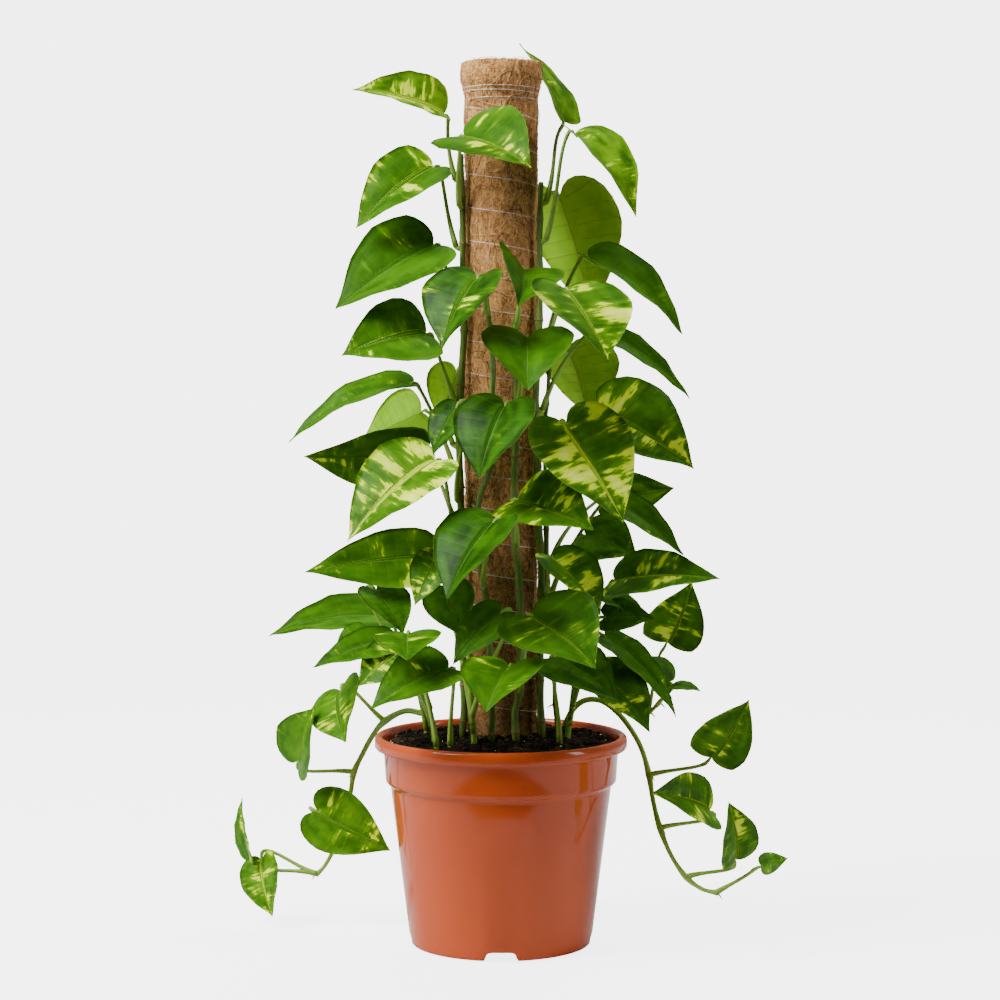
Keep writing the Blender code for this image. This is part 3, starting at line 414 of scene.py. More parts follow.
# ---------------------------------------------------------------- mesh help
def new_object(name, verts, faces, materials, face_slots=None, uvs=None, smooth=True):
    """Points in millimetres; uvs is {layer: [(u, v) per vertex]}."""
    mesh = bpy.data.meshes.new(name)
    co = np.asarray([tuple(v) for v in verts], dtype=np.float64) * MM
    mesh.from_pydata(co.tolist(), [], faces)
    for m in materials:
        mesh.materials.append(m)
    if face_slots is not None:
        mesh.polygons.foreach_set("material_index", face_slots)
    loops = np.empty(len(mesh.loops), dtype=np.int32)
    mesh.loops.foreach_get("vertex_index", loops)
    for layer, values in (uvs or {}).items():
        data = mesh.uv_layers.new(name=layer)
        arr = np.asarray(values, dtype=np.float32)[loops]
        data.data.foreach_set("uv", arr.reshape(-1))
    if smooth:
        mesh.shade_smooth()
    mesh.update()
    obj = bpy.data.objects.new(name, mesh)
    bpy.context.scene.collection.objects.link(obj)
    return obj


def station(across, down, depth):
    a = (across - SHEET_CENTRE) / SHEET_FOCAL
    b = (SHEET_CENTRE - down) / SHEET_FOCAL
    ray = Vector((a, math.cos(SHEET_TILT) + math.sin(SHEET_TILT) * b,
                  -math.sin(SHEET_TILT) + math.cos(SHEET_TILT) * b))
    eye = Vector(SHEET_EYE)
    return eye + ray * ((depth - eye.y) / ray.y)


def soil_level(x, y):
    wall = COLLAR_TOP_RADIUS - WALL - 0.8
    r = min(max(math.hypot(x, y), POLE_RADIUS), wall)
    t = (r - POLE_RADIUS) / (wall - POLE_RADIUS)
    return SOIL_CROWN + (SOIL_EDGE - SOIL_CROWN) * t


def soil_station(across, depth):
    x = (across - 501.0) * 0.8268 * (1.0 + depth / 2083.0)
    return Vector((x, depth, soil_level(x, depth)))


def smooth_path(points, steps):
    pts = [points[0] * 2 - points[1]] + list(points) + [points[-1] * 2 - points[-2]]
    out = []
    for i in range(1, len(pts) - 2):
        p0, p1, p2, p3 = pts[i - 1:i + 3]
        for k in range(steps):
            t = k / steps
            out.append(0.5 * ((2 * p1) + (p2 - p0) * t + (2 * p0 - 5 * p1 + 4 * p2 - p3) * t * t
                              + (3 * p1 - p0 - 3 * p2 + p3) * t * t * t))
    out.append(points[-1].copy())
    return out


def keep_off_pole(p, clearance):
    if p.z > POLE_TOP + 6.0:
        return p
    r = math.hypot(p.x, p.y)
    need = POLE_RADIUS + 2.6 + clearance
    if p.z > 690.0:
        need += 2.0
    if r >= need or r < 1e-6:
        return p
    return Vector((p.x * need / r, p.y * need / r, p.z))


class Builder:
    """Gathers tubes and blades into one mesh with a vein and a length map."""

    def __init__(self):
        self.verts, self.faces, self.slots = [], [], []
        self.vein, self.length = [], []

    def add(self, verts, faces, slot, vein=None, length=None):
        offset = len(self.verts)
        self.verts.extend(verts)
        self.faces.extend(tuple(offset + i for i in f) for f in faces)
        if isinstance(slot, int):
            self.slots.extend([slot] * len(faces))
        else:
            self.slots.extend(slot)
        self.vein.extend(vein if vein is not None else [(0.0, 0.0)] * len(verts))
        self.length.extend(length if length is not None else [(0.0, 0.0)] * len(verts))

    def tube(self, points, radii, sides, slot, up=None, ridges=0.0, caps=True):
        verts, faces, length = [], [], []
        direction = (points[1] - points[0]).normalized()
        side = up if up is not None else Vector((0.0, 0.0, 1.0))
        if abs(side.dot(direction)) > 0.95:
            side = Vector((0.3, -1.0, 0.0))
        side = (side - direction * side.dot(direction)).normalized()
        run = 0.0
        for i, p in enumerate(points):
            a, b = points[max(i - 1, 0)], points[min(i + 1, len(points) - 1)]
            direction = (b - a).normalized()
            side = (side - direction * side.dot(direction)).normalized()
            across = direction.cross(side)
            if i:
                run += (p - points[i - 1]).length
            for j in range(sides):
                angle = 2.0 * math.pi * j / sides
                r = radii[i] * (1.0 + ridges * math.cos(5 * angle))
                verts.append(p + (side * math.cos(angle) + across * math.sin(angle)) * r)
                length.append((run * MM, j / sides))
        n = len(points)
        for i in range(n - 1):
            for j in range(sides):
                m = (j + 1) % sides
                faces.append((i * sides + j, i * sides + m, (i + 1) * sides + m, (i + 1) * sides + j))
        if caps:
            faces.append(tuple(reversed(range(sides))))
            faces.append(tuple((n - 1) * sides + j for j in range(sides)))
        self.add(verts, faces, slot, length=length)

    def build(self, name, materials):
        return new_object(name, self.verts, self.faces, materials, self.slots,
                          {"vein": self.vein, "length": self.length})


# half outline of a blade: along, out, and the midrib place its vein starts
OUTLINE = (
    (-0.030, 0.020, 0.000), (-0.085, 0.060, 0.000), (-0.128, 0.120, 0.000), (-0.143, 0.190, 0.002),
    (-0.130, 0.265, 0.010), (-0.085, 0.340, 0.030), (-0.010, 0.402, 0.065), (0.090, 0.444, 0.125),
    (0.200, 0.460, 0.205), (0.310, 0.448, 0.300), (0.420, 0.412, 0.400), (0.530, 0.358, 0.505),
    (0.635, 0.290, 0.608), (0.730, 0.216, 0.705), (0.815, 0.144, 0.795), (0.885, 0.084, 0.870),
    (0.940, 0.040, 0.930), (0.978, 0.014, 0.970),
)
ACROSS = 7


def blade(builder, base, tip, width, compass, rise, fold, arch, slot_top, slot_under, seed, lobes=1.0):
    """A heart-shaped blade with a folded, arched and gently waved surface."""
    rng = random.Random(seed * 101 + 7)
    axis = tip - base
    length = axis.length
    axis.normalize()
    c, r = math.radians(compass), math.radians(rise)
    normal = Vector((math.sin(c) * math.cos(r), -math.cos(c) * math.cos(r), math.sin(r)))
    normal = (normal - axis * normal.dot(axis)).normalized()
    across = normal.cross(axis)
    spread = width / (2.0 * 0.455 * length)
    sag = length * math.radians(arch) / 8.0
    tilt = math.radians(fold)
    wave_a, wave_b = rng.uniform(0, 6.28), rng.uniform(0, 6.28)
    wave_n = rng.uniform(2.2, 3.4)
    hook = rng.uniform(-0.02, 0.02) * length
    half = 0.35

    def surface(s, t, w, side):
        x = s
        y = t * spread
        lift = length * y * math.sin(tilt) * (0.65 + 0.35 * min(1.0, y / 0.1))
        # the outer half of the blade curls back down
        lift -= length * 0.16 * y * y * (1.0 + 0.4 * math.sin(side * 1.3 + wave_a))
        ripple = 0.010 * length * (w ** 2) * math.sin(wave_n * 2 * math.pi * s + (wave_a if side > 0 else wave_b))
        drop = 4.0 * x * (1.0 - x) * sag
        bend = hook * max(0.0, x - 0.6) ** 2 / 0.16
        return (base + axis * (length * x) + across * (length * y * side * math.cos(tilt) + bend)
                + normal * (drop + lift + ripple))

    rows = [(-2.0 / length, 1.1 / (length * spread), 0.0)]
    rows += [(min(s, 0.0) * lobes + max(s, 0.0), t, a) for s, t, a in OUTLINE]
    verts, faces, slots, vein = [], [], [], []
    index = {}

    def vertex(layer, side, i, j):
        if i == "mid":
            key = (layer, "mid", round(j, 4))
            if key not in index:
                index[key] = len(verts)
                p = surface(j, 0.0, 0.0, 1)
                verts.append(p + normal * (half if layer == 0 else -half))
                vein.append((j, 0.0))
            return index[key]
        s, t, a = rows[i]
        if j == 0:
            return vertex(layer, side, "mid", a)
        key = (layer, side, i, j)
        if key not in index:
            w = j / ACROSS
            # veins leave the midrib and sweep towards the tip
            x = a + (s - a) * (w ** 1.15)
            y = t * w
            p = surface(x, y, w, side)
            thick = half * (1.0 - 0.55 * w ** 3)
            index[key] = len(verts)
            verts.append(p + normal * (thick if layer == 0 else -thick))
            vein.append((a * 0.9 + s * 0.1 + (0.0 if side > 0 else 3.0), w))
        return index[key]

    n = len(rows)
    for layer in (0, 1):
        slot = slot_top if layer == 0 else slot_under
        for side in (1, -1):
            flip = (side > 0) == (layer == 0)
            for i in range(n):
                for j in range(ACROSS):
                    a = vertex(layer, side, i, j)
                    b = vertex(layer, side, i, j + 1)
                    if i + 1 < n:
                        c2 = vertex(layer, side, i + 1, j + 1)
                        d = vertex(layer, side, i + 1, j)
                    else:
                        c2 = d = vertex(layer, side, "mid", 1.0)
                    loop = []
                    for v in (a, b, c2, d):
                        if v not in loop:
                            loop.append(v)
                    if len(loop) < 3:
                        continue
                    if flip:
                        loop.reverse()
                    faces.append(tuple(loop))
                    slots.append(slot)
    for side in (1, -1):
        for i in range(n):
            a, c2 = vertex(0, side, i, ACROSS), vertex(1, side, i, ACROSS)
            if i + 1 < n:
                b, d = vertex(0, side, i + 1, ACROSS), vertex(1, side, i + 1, ACROSS)
            else:
                b, d = vertex(0, side, "mid", 1.0), vertex(1, side, "mid", 1.0)
            loop = (a, b, d, c2) if side < 0 else (a, c2, d, b)
            faces.append(loop)
            slots.append(slot_top)
    builder.add(verts, faces, slots, vein=vein)
    return axis, normal, length


def petiole(builder, start, start_dir, base, axis, normal, slot, thick=1.55, sheath=True, climbing=False):
    """The stalk from the stem up into the blade's notch."""
    reach = (base - start).length
    neck = base - axis * 3.4 - normal * 0.25
    bend = neck - (axis * 2.0 + normal * 2.3 if climbing else axis * 3.8 + normal * 1.6)
    if climbing:              # rises beside the stem, then arches over to the blade
        p1 = start + start_dir * (0.42 * reach)
        p2 = bend.lerp(start, 0.20) + (Vector((0.0, 0.0, 0.08)) - normal * 0.12) * reach
    else:
        p1 = start + start_dir * (0.34 * reach)
        p2 = bend - (axis * 0.6 + normal * 0.6).normalized() * (0.26 * reach)
    curve = []
    for k in range(15):
        t = 1.0 - k / 14
        p = (start * (1 - t) ** 3 + p1 * (3 * t * (1 - t) ** 2)
             + p2 * (3 * t * t * (1 - t)) + bend * t ** 3)
        if 0 < k < 14:
            p = keep_off_pole(p, thick + 0.3)
        curve.append(p)
    into = base + axis * 4.0 - normal * 0.3
    points = [into, base + axis * 0.6 - normal * 0.35, neck] + curve
    count = len(points)
    radii = []
    for i in range(count):
        t = i / (count - 1)
        r = thick * (0.86 + 0.26 * t)
        if i == 0:
            r = 0.35
        elif i == 1:
            r = 0.8
        elif i in (3, 4):
            r = thick * 1.12          # the swollen joint under the blade
        if sheath and t > 0.72:
            r += 0.55 * thick * (t - 0.72) / 0.28
        radii.append(r)
    builder.tube(points, radii, 10, slot, up=normal)


LEAF_STEM = stem_material("petiole_green", (0.170, 0.310, 0.026), (0.290, 0.440, 0.060))
CLIMB_STEM = stem_material("stem_green", (0.085, 0.150, 0.018), (0.160, 0.240, 0.038))


def leaf_materials(name, amount, seed, young=0.0, dark=0.0):
    return [leaf_top(name + "_top", amount, seed, young, dark), leaf_under(name + "_under", amount, seed), LEAF_STEM]


# ---------------------------------------------------------------- the plant
STEM_PATHS = {}


def build_stems():
    for name, (radius, stations) in STEMS.items():
        pts = [keep_off_pole(station(*s), radius + 0.35) for s in stations]
        foot = pts[-1]
        low = soil_level(foot.x, foot.y) + 0.35
        pts.append(Vector((foot.x * 1.04, foot.y * 1.04, low)))
        path = smooth_path(pts, 1)
        path = [keep_off_pole(p, radius + 0.35) for p in path]
        path[-1].z = low
        STEM_PATHS[name] = (radius, path)
        fine = [keep_off_pole(p, radius + 0.2) for p in smooth_path(path, 8)]
        fine[-1].z = low - 4.0
        rng = random.Random(len(name) * 13 + 5)
        run, nodes_at = 0.0, []
        gap = 30.0
        for i in range(1, len(fine)):
            run += (fine[i] - fine[i - 1]).length
            if run > gap:
                nodes_at.append(i)
                run = 0.0
                gap = rng.uniform(26.0, 44.0)
        radii = []
        for i in range(len(fine)):
            r = radius * (0.74 + 0.26 * min(1.0, i / 36.0)) * 0.96
            for at in nodes_at:
                d = abs(i - at)
                if d < 4:
                    r += 0.75 * (1.0 - d / 4.0) ** 2
            radii.append(r)
        b = Builder()
        b.tube(fine, radii, 14, 0, ridges=0.03)
        # brown leaf scars and short aerial roots at the nodes
        for at in nodes_at:
            p = fine[at]
            direction = (fine[min(at + 1, len(fine) - 1)] - fine[at - 1]).normalized()
            ring = [p - direction * 0.5, p + direction * 0.2, p + direction * 0.9]
            b.tube(ring, [radii[at] * 1.03, radii[at] * 1.10, radii[at] * 1.03], 14, 1)
            if rng.random() < 0.8:
                inward = Vector((-p.x, -p.y, 0.0)).normalized()
                swing = inward.cross(Vector((0, 0, 1))) * rng.uniform(-0.8, 0.8)
                a0 = p + inward * radii[at] * 0.6 + swing * radii[at] * 0.5
                a1 = a0 + (inward * 0.5 + swing * 1.2).normalized() * 3.0 + Vector((0, 0, -1.2))
                a2 = a1 + (inward * 0.6 + swing).normalized() * 2.5 + Vector((0, 0, -2.0))
                b.tube([a0, a1, a2], [0.8, 0.6, 0.25], 6, 1)
        obj = b.build(name + "_fine", [CLIMB_STEM, SCAR])
        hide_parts(name)
        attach(obj, "root")


def node_on_stem(stem, down, towards):
    radius, path = STEM_PATHS[stem]
    height = station(SHEET_CENTRE, down, path[0].y).z
    best = min(path, key=lambda p: abs(p.z - height))
    i = path.index(best)
    other = path[i + 1] if height < best.z and i + 1 < len(path) else path[max(i - 1, 0)]
    t = 0.0 if abs(other.z - best.z) < 1e-6 else (height - best.z) / (other.z - best.z)
    centre = best.lerp(other, min(max(t, 0.0), 1.0))
    outward = Vector((centre.x, centre.y, 0.0)).normalized()
    lead = Vector((towards.x - centre.x, towards.y - centre.y, 0.0)).normalized()
    direction = (lead * 0.8 + outward * 0.6).normalized()
    start = centre + direction * (radius + 0.35 + 1.6 * 1.2)
    return start, (direction * 0.3 + Vector((0, 0, 0.9))).normalized(), centre


def build_leaves():
    for name, stem, node, base, tip, width, compass, rise, fold, arch in LEAVES:
        b, t = station(*base), station(*tip)
        if stem == "soil":
            ground = soil_station(*node)
            start = ground + Vector((0, 0, 1.55))
            lean = (b - start).normalized()
            direction = (lean * 0.5 + Vector((0, 0, 0.8))).normalized()
            foot = ground - Vector((0, 0, 5.0))
        else:
            start, direction, centre = node_on_stem(stem, node, b)
            foot = centre - Vector((0, 0, 2.5))
        amount, seed = VARIEGATION[name]
        builder = Builder()
        axis, normal, length = blade(builder, b, t, width, compass, rise, fold, arch, 0, 1, seed, LOBES.get(name, 1.0))
        petiole(builder, start, direction, b, axis, normal, 2, climbing=name not in ARCHED)
        # the clasping base of the petiole, run on to the stem or into the soil
        builder.tube([start + direction * 2.0, start, start.lerp(foot, 0.55), foot], [1.8, 2.1, 2.3, 1.5], 10, 2)
        young = 0.9 if name in ("leaf_left_01", "leaf_right_01", "leaf_right_02", "leaf_right_10") else 0.15
        # painted shade: leaves low down, deep inside or facing the front get a darker green for the shade they sit in
        dark = 0.55 if name in ("leaf_right_12", "leaf_left_11", "leaf_right_15", "leaf_low_02") else 0.2
        if name in ("leaf_front_02", "leaf_front_05", "leaf_left_04", "leaf_left_11"):
            young, dark = 0.0, 1.0
        obj = builder.build(name + "_fine", leaf_materials(name, amount, seed, young, dark))
        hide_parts(name)
        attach(obj, "root")


def build_groups():
    for name, (ground, height, leaves) in SHOOTS.items():
        foot = soil_station(*ground) + Vector((0, 0, 0.35))
        lean = Vector((foot.x, foot.y, 0)).normalized() * 5.0
        path = [foot - Vector((0, 0, 5.0)), foot, foot + Vector((0, 0, height * 0.4)) + lean * 0.3,
                foot + Vector((0, 0, height * 0.75)) + lean * 0.7, foot + Vector((0, 0, height)) + lean]
        builder = Builder()
        fine = smooth_path(path, 6)
        builder.tube(fine, [2.8 - 1.0 * i / len(fine) for i in range(len(fine))], 12, 0)
        materials = [LEAF_STEM]
        for i, (base, tip, width, compass, rise, fold, arch) in enumerate(leaves):
            b, t = station(*base), station(*tip)
            part = 0.30 + 0.55 * i / max(len(leaves) - 1, 1)
            start = foot + Vector((0, 0, height * part)) + lean * part * 0.9
            lean_to = (b - start).normalized()
            direction = (lean_to * 0.75 + Vector((0, 0, 0.5))).normalized()
            amount, seed = GROUP_VARIEGATION[name][i]
            slot = len(materials)
            materials += leaf_materials(f"{name}_{i}", amount, seed, 0.1, 0.35)[:2]
            axis, normal, length = blade(builder, b, t, width, compass, rise, fold, arch, slot, slot + 1, seed,
                                         LOBES.get(f"{name}:{i}", 1.0))
            petiole(builder, start, direction, b, axis, normal, 0)
        obj = builder.build(name + "_fine", materials)
        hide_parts(name)
        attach(obj, "root")
    for name, (radius, stations, leaves) in VINES.items():
        pts = [station(*s) for s in stations]
        fine = smooth_path(pts, 8)
        count = len(fine)
        radii = [radius * (1.0 - 0.35 * i / count) for i in range(count)]
        marks = sorted({row[0] for row in leaves})
        for at in marks:
            centre = min(at * 8, count - 1)
            for i in range(count):
                d = abs(i - centre)
                if d < 5:
                    radii[i] += 0.8 * (1.0 - d / 5.0)
        builder = Builder()
        if name != "vine_side":
            fine = [fine[0] + Vector((0, 0, -6.0))] + fine
            radii = [radii[0]] + radii
        builder.tube(fine, radii, 14, 0, ridges=0.02)
        materials = [LEAF_STEM, SCAR]
        for i, (at, base, tip, width, compass, rise, fold, arch) in enumerate(leaves):
            b, t = station(*base), station(*tip)
            start = pts[at] if at < len(pts) - 1 else pts[at].lerp(pts[at - 1], 0.12)
            direction = (b - start).normalized()
            amount, seed = GROUP_VARIEGATION[name][i]
            slot = len(materials)
            materials += leaf_materials(f"{name}_{i}", amount, seed, 0.25, 0.15)[:2]
            axis, normal, length = blade(builder, b, t, width, compass, rise, fold, arch, slot, slot + 1, seed,
                                         LOBES.get(f"{name}:{i}", 1.0))
            petiole(builder, start, direction, b, axis, normal, 0, thick=min(1.55, radius * 0.75))
            # node ring and a short brown aerial root
            ring = fine[min(at * 8 + 1, len(fine) - 2)]
            out = Vector((ring.x, ring.y, 0)).normalized()
            builder.tube([ring, ring + out * 3.0 + Vector((0, 0, -2.0)), ring + out * 5.0 + Vector((0, 0, -5.0))],
                         [0.9, 0.7, 0.25], 6, 1)
        obj = builder.build(name + "_fine", materials)
        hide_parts(name)
        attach(obj, "root")


# ---------------------------------------------------------------- the pot
def build_pot():
    """Thin glossy plastic: rolled rim, collar and tapered body."""
    outer = [
        (FOOT_RADIUS, 0.0), (FOOT_RADIUS + 1.6, 0.4), (FOOT_RADIUS + 2.6, 1.4), (BODY_LOW_RADIUS - 1.0, 4.2),
        (BODY_LOW_RADIUS, 9.0), (BODY_TOP_RADIUS, COLLAR_LOW - 5.0), (BODY_TOP_RADIUS + 0.3, COLLAR_LOW - 2.4),
        (BODY_TOP_RADIUS + 1.4, COLLAR_LOW - 1.0), (COLLAR_LOW_RADIUS - 1.4, COLLAR_LOW - 0.2),
        (COLLAR_LOW_RADIUS - 0.3, COLLAR_LOW + 1.2), (COLLAR_LOW_RADIUS, COLLAR_LOW + 3.4),
        (COLLAR_TOP_RADIUS - 0.1, POT_HEIGHT - RIM_BAND - 2.2), (COLLAR_TOP_RADIUS + 0.5, POT_HEIGHT - RIM_BAND - 0.7),
        (RIM_RADIUS - 2.6, POT_HEIGHT - RIM_BAND - 0.2), (RIM_RADIUS - 1.1, POT_HEIGHT - RIM_BAND + 0.4),
        (RIM_RADIUS - 0.2, POT_HEIGHT - RIM_BAND + 1.8), (RIM_RADIUS, POT_HEIGHT - 4.2),
        (RIM_RADIUS - 0.5, POT_HEIGHT - 1.8), (RIM_RADIUS - 1.7, POT_HEIGHT - 0.5), (RIM_RADIUS - 3.4, POT_HEIGHT),
        (RIM_INNER_RADIUS + 1.2, POT_HEIGHT - 0.3), (RIM_INNER_RADIUS + 0.2, POT_HEIGHT - 1.2),
        (RIM_INNER_RADIUS - 0.6, POT_HEIGHT - 3.4), (COLLAR_TOP_RADIUS - WALL, POT_HEIGHT - RIM_BAND - 2.0),
        (COLLAR_LOW_RADIUS - WALL, COLLAR_LOW + 4.0), (BODY_TOP_RADIUS - WALL, COLLAR_LOW - 3.0),
        (BODY_LOW_RADIUS - WALL - 0.6, 11.4), (BODY_LOW_RADIUS - WALL - 3.0, 8.4), (0.0, 8.4),
    ]
    under = [(0.0, 0.0), (33.0, 0.0), (34.4, 0.6), (38.0, 6.0), (FOOT_RADIUS - 8.0, 6.0), (FOOT_RADIUS - 5.6, 0.6),
             (FOOT_RADIUS - 4.8, 0.0)]
    profile = under + outer
    segments = 192
    notch_half = 13.5 / 73.0
    verts, faces, length = [], [], []
    rings = []
    for r, z in profile:
        if r < 1e-6:
            rings.append([len(verts)])
            verts.append(Vector((0, 0, z)))
            length.append((0.0, z * MM))
            continue
        ring = []
        for k in range(segments):
            a = -math.pi / 2 + 2 * math.pi * k / segments
            wobble = 1.0 + 0.0011 * math.sin(2 * a + 0.6) * (z / POT_HEIGHT)
            rr = min(r * wobble, RIM_RADIUS)
            zz = z
            # arched drain notches in the foot
            d = abs((a + math.pi / 4 + math.pi / 2) % (math.pi / 2) - math.pi / 4)
            if z < 7.6 and r > 60.0 and d < notch_half:
                t = d / notch_half
                top = 7.5 * (1.0 - t ** 6) ** 0.5
                zz = max(z, top)
            ring.append(len(verts))
            verts.append(Vector((rr * math.cos(a), rr * math.sin(a), zz)))
            length.append((a * 0.1, z * MM))
        rings.append(ring)
    for low, high in zip(rings, rings[1:]):
        for k in range(segments):
            m = (k + 1) % segments
            if len(low) == 1 and len(high) == 1:
                continue
            if len(low) == 1:
                faces.append((low[0], high[m], high[k]))
            elif len(high) == 1:
                faces.append((low[k], low[m], high[0]))
            else:
                faces.append((low[k], low[m], high[m], high[k]))
    k = Nodes("pot_plastic")
    coord = k.coord()
    cloud = k.noise(coord, 7.0, 3.0)
    streak = k.noise(k.mapped(coord, (30.0, 30.0, 3.0)), 1.0, 3.0)
    colour = k.mix(k.ramp(cloud, 0.3, 0.7), (0.450, 0.064, 0.0130), (0.500, 0.075, 0.0165))
    colour = k.mix(k.math("MULTIPLY", k.ramp(streak, 0.55, 0.75), 0.15), colour, (0.36, 0.048, 0.011))
    dust = k.noise(coord, 60.0, 4.0, 0.65)
    colour = k.mix(k.math("MULTIPLY", k.ramp(dust, 0.64, 0.8), 0.08), colour, (0.16, 0.07, 0.035))
    rough = k.math("ADD", k.math("MULTIPLY", k.noise(coord, 26.0, 3.0), 0.05), 0.07)
    ripple = k.noise(k.mapped(coord, (7.0, 7.0, 2.5)), 1.0, 2.0)
    normal = k.bump(ripple, 0.22, 0.004)
    mat = k.set(Base_Color=colour, Roughness=rough, Specular_IOR_Level=0.30, Normal=normal)
    obj = new_object("pot_fine", verts, faces, [mat], uvs={"length": length})
    obj.data.set_sharp_from_angle(angle=math.radians(60))
    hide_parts("pot")
    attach(obj, "root")


def build_soil():
    rng = random.Random(4)
    rings, around = 64, 220
    wall = COLLAR_TOP_RADIUS - WALL - 0.4
    verts, faces = [], []
    for i in range(rings + 1):
        r = 22.0 + (wall - 22.0) * i / rings
        for j in range(around):
            a = 2 * math.pi * j / around
            x, y = r * math.cos(a), r * math.sin(a)
            z = soil_level(x, y) - 1.0
            n = noise.fractal(Vector((x * 0.045, y * 0.045, 3.0)), 1.0, 2.0, 3)
            m = noise.fractal(Vector((x * 0.20, y * 0.20, 9.0)), 0.8, 2.0, 4)
            fade = min(1.0, (wall - r) / 6.0)
            z += fade * (2.4 * n + 2.2 * m) - (1.0 - fade) * 1.5
            verts.append(Vector((x, y, min(z, 178.0))))
    for i in range(rings):
        for j in range(around):
            m = (j + 1) % around
            faces.append((i * around + j, i * around + m, (i + 1) * around + m, (i + 1) * around + j))
    for f in range(len(faces)):
        faces[f] = tuple(reversed(faces[f]))
    slots = [0] * len(faces)
    ico = bmesh.new()
    bmesh.ops.create_icosphere(ico, subdivisions=2, radius=1.0)
    ico_v = [v.co.copy() for v in ico.verts]
    ico_f = [tuple(v.index for v in f.verts) for f in ico.faces]
    ico.free()
    # crumbs of peat and bark, with a few white perlite grains
    for c in range(1500):
        r = math.sqrt(rng.uniform(31.0 ** 2, (wall - 2.5) ** 2))
        a = rng.uniform(0, 2 * math.pi)
        x, y = r * math.cos(a), r * math.sin(a)
        n = noise.fractal(Vector((x * 0.045, y * 0.045, 3.0)), 1.0, 2.0, 3)
        m = noise.fractal(Vector((x * 0.20, y * 0.20, 9.0)), 0.8, 2.0, 4)
        fade = min(1.0, (wall - r) / 6.0)
        z = soil_level(x, y) - 1.0 + fade * (2.4 * n + 2.2 * m) - (1.0 - fade) * 1.5
        kind = rng.random()
        size = rng.uniform(0.6, 2.4) if kind < 0.93 else rng.uniform(0.35, 0.9)
        slot = 1 if kind < 0.93 else 2
        stretch = Vector((rng.uniform(0.7, 1.5), rng.uniform(0.7, 1.3), rng.uniform(0.5, 1.0)))
        turn = rng.uniform(0, 6.28)
        off = len(verts)
        ph = rng.uniform(0, 50)
        for v in ico_v:
            q = Vector((v.x * stretch.x, v.y * stretch.y, v.z * stretch.z))
            q *= size * (1.0 + 0.45 * noise.noise(v * 1.6 + Vector((ph, 0, 0))))
            q = Vector((q.x * math.cos(turn) - q.y * math.sin(turn), q.x * math.sin(turn) + q.y * math.cos(turn), q.z))
            verts.append(Vector((x, y, z)) + q)
        faces.extend(tuple(off + i for i in f) for f in ico_f)
        slots.extend([slot] * len(ico_f))
    k = Nodes("soil_dark")
    coord = k.coord()
    grain = k.noise(coord, 260.0, 6.0, 0.7)
    big = k.noise(coord, 60.0, 3.0)
    colour = k.mix(k.ramp(grain, 0.35, 0.7), (0.0020, 0.0012, 0.0006), (0.012, 0.0066, 0.0030))
    colour = k.mix(k.math("MULTIPLY", k.ramp(big, 0.55, 0.75), 0.5), colour, (0.045, 0.026, 0.012))
    normal = k.bump(grain, 0.9, 0.002)
    soil = k.set(Base_Color=colour, Roughness=0.92, Specular_IOR_Level=0.2, Normal=normal)
    k = Nodes("soil_crumb")
    grain = k.noise(k.coord(), 500.0, 4.0, 0.7)
    big = k.noise(k.coord(), 40.0, 2.0)
    colour = k.mix(k.ramp(big, 0.4, 0.65), (0.006, 0.0036, 0.002), (0.060, 0.034, 0.015))
    colour = k.mix(k.math("MULTIPLY", k.ramp(grain, 0.4, 0.7), 0.5), colour, (0.004, 0.0025, 0.0015))
    crumb = k.set(Base_Color=colour, Roughness=0.9, Specular_IOR_Level=0.2, Normal=k.bump(grain, 0.8, 0.001))
    k = Nodes("perlite")
    grain = k.noise(k.coord(), 900.0, 3.0)
    perlite = k.set(Base_Color=k.mix(grain, rgb(214, 204, 180), rgb(244, 238, 220)), Roughness=0.8,
                    Normal=k.bump(grain, 0.6, 0.0005))
    obj = new_object("soil_fine", verts, faces, [soil, crumb, perlite], slots)
    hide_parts("soil")
    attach(obj, "root")


def coir_radius(a, z):
    """The matted surface of the pole: slightly lumpy, ragged at the top."""
    n = noise.fractal(Vector((math.cos(a) * 1.3, math.sin(a) * 1.3, z * 0.035)), 1.0, 2.0, 3)
    r = POLE_RADIUS - 0.6 + 0.9 * n
    if z > 696.0:
        t = min(1.0, (z - 696.0) / 20.0)
        t = t * t * (3.0 - 2.0 * t)
        r += t * (3.6 + 0.5 * math.sin(3 * a + 0.7) + 0.8 * n)
    if z > 719.0:
        r -= 1.6 * min(1.0, (z - 719.0) / 6.0)
    return min(r, POLE_FLARE - 0.3)


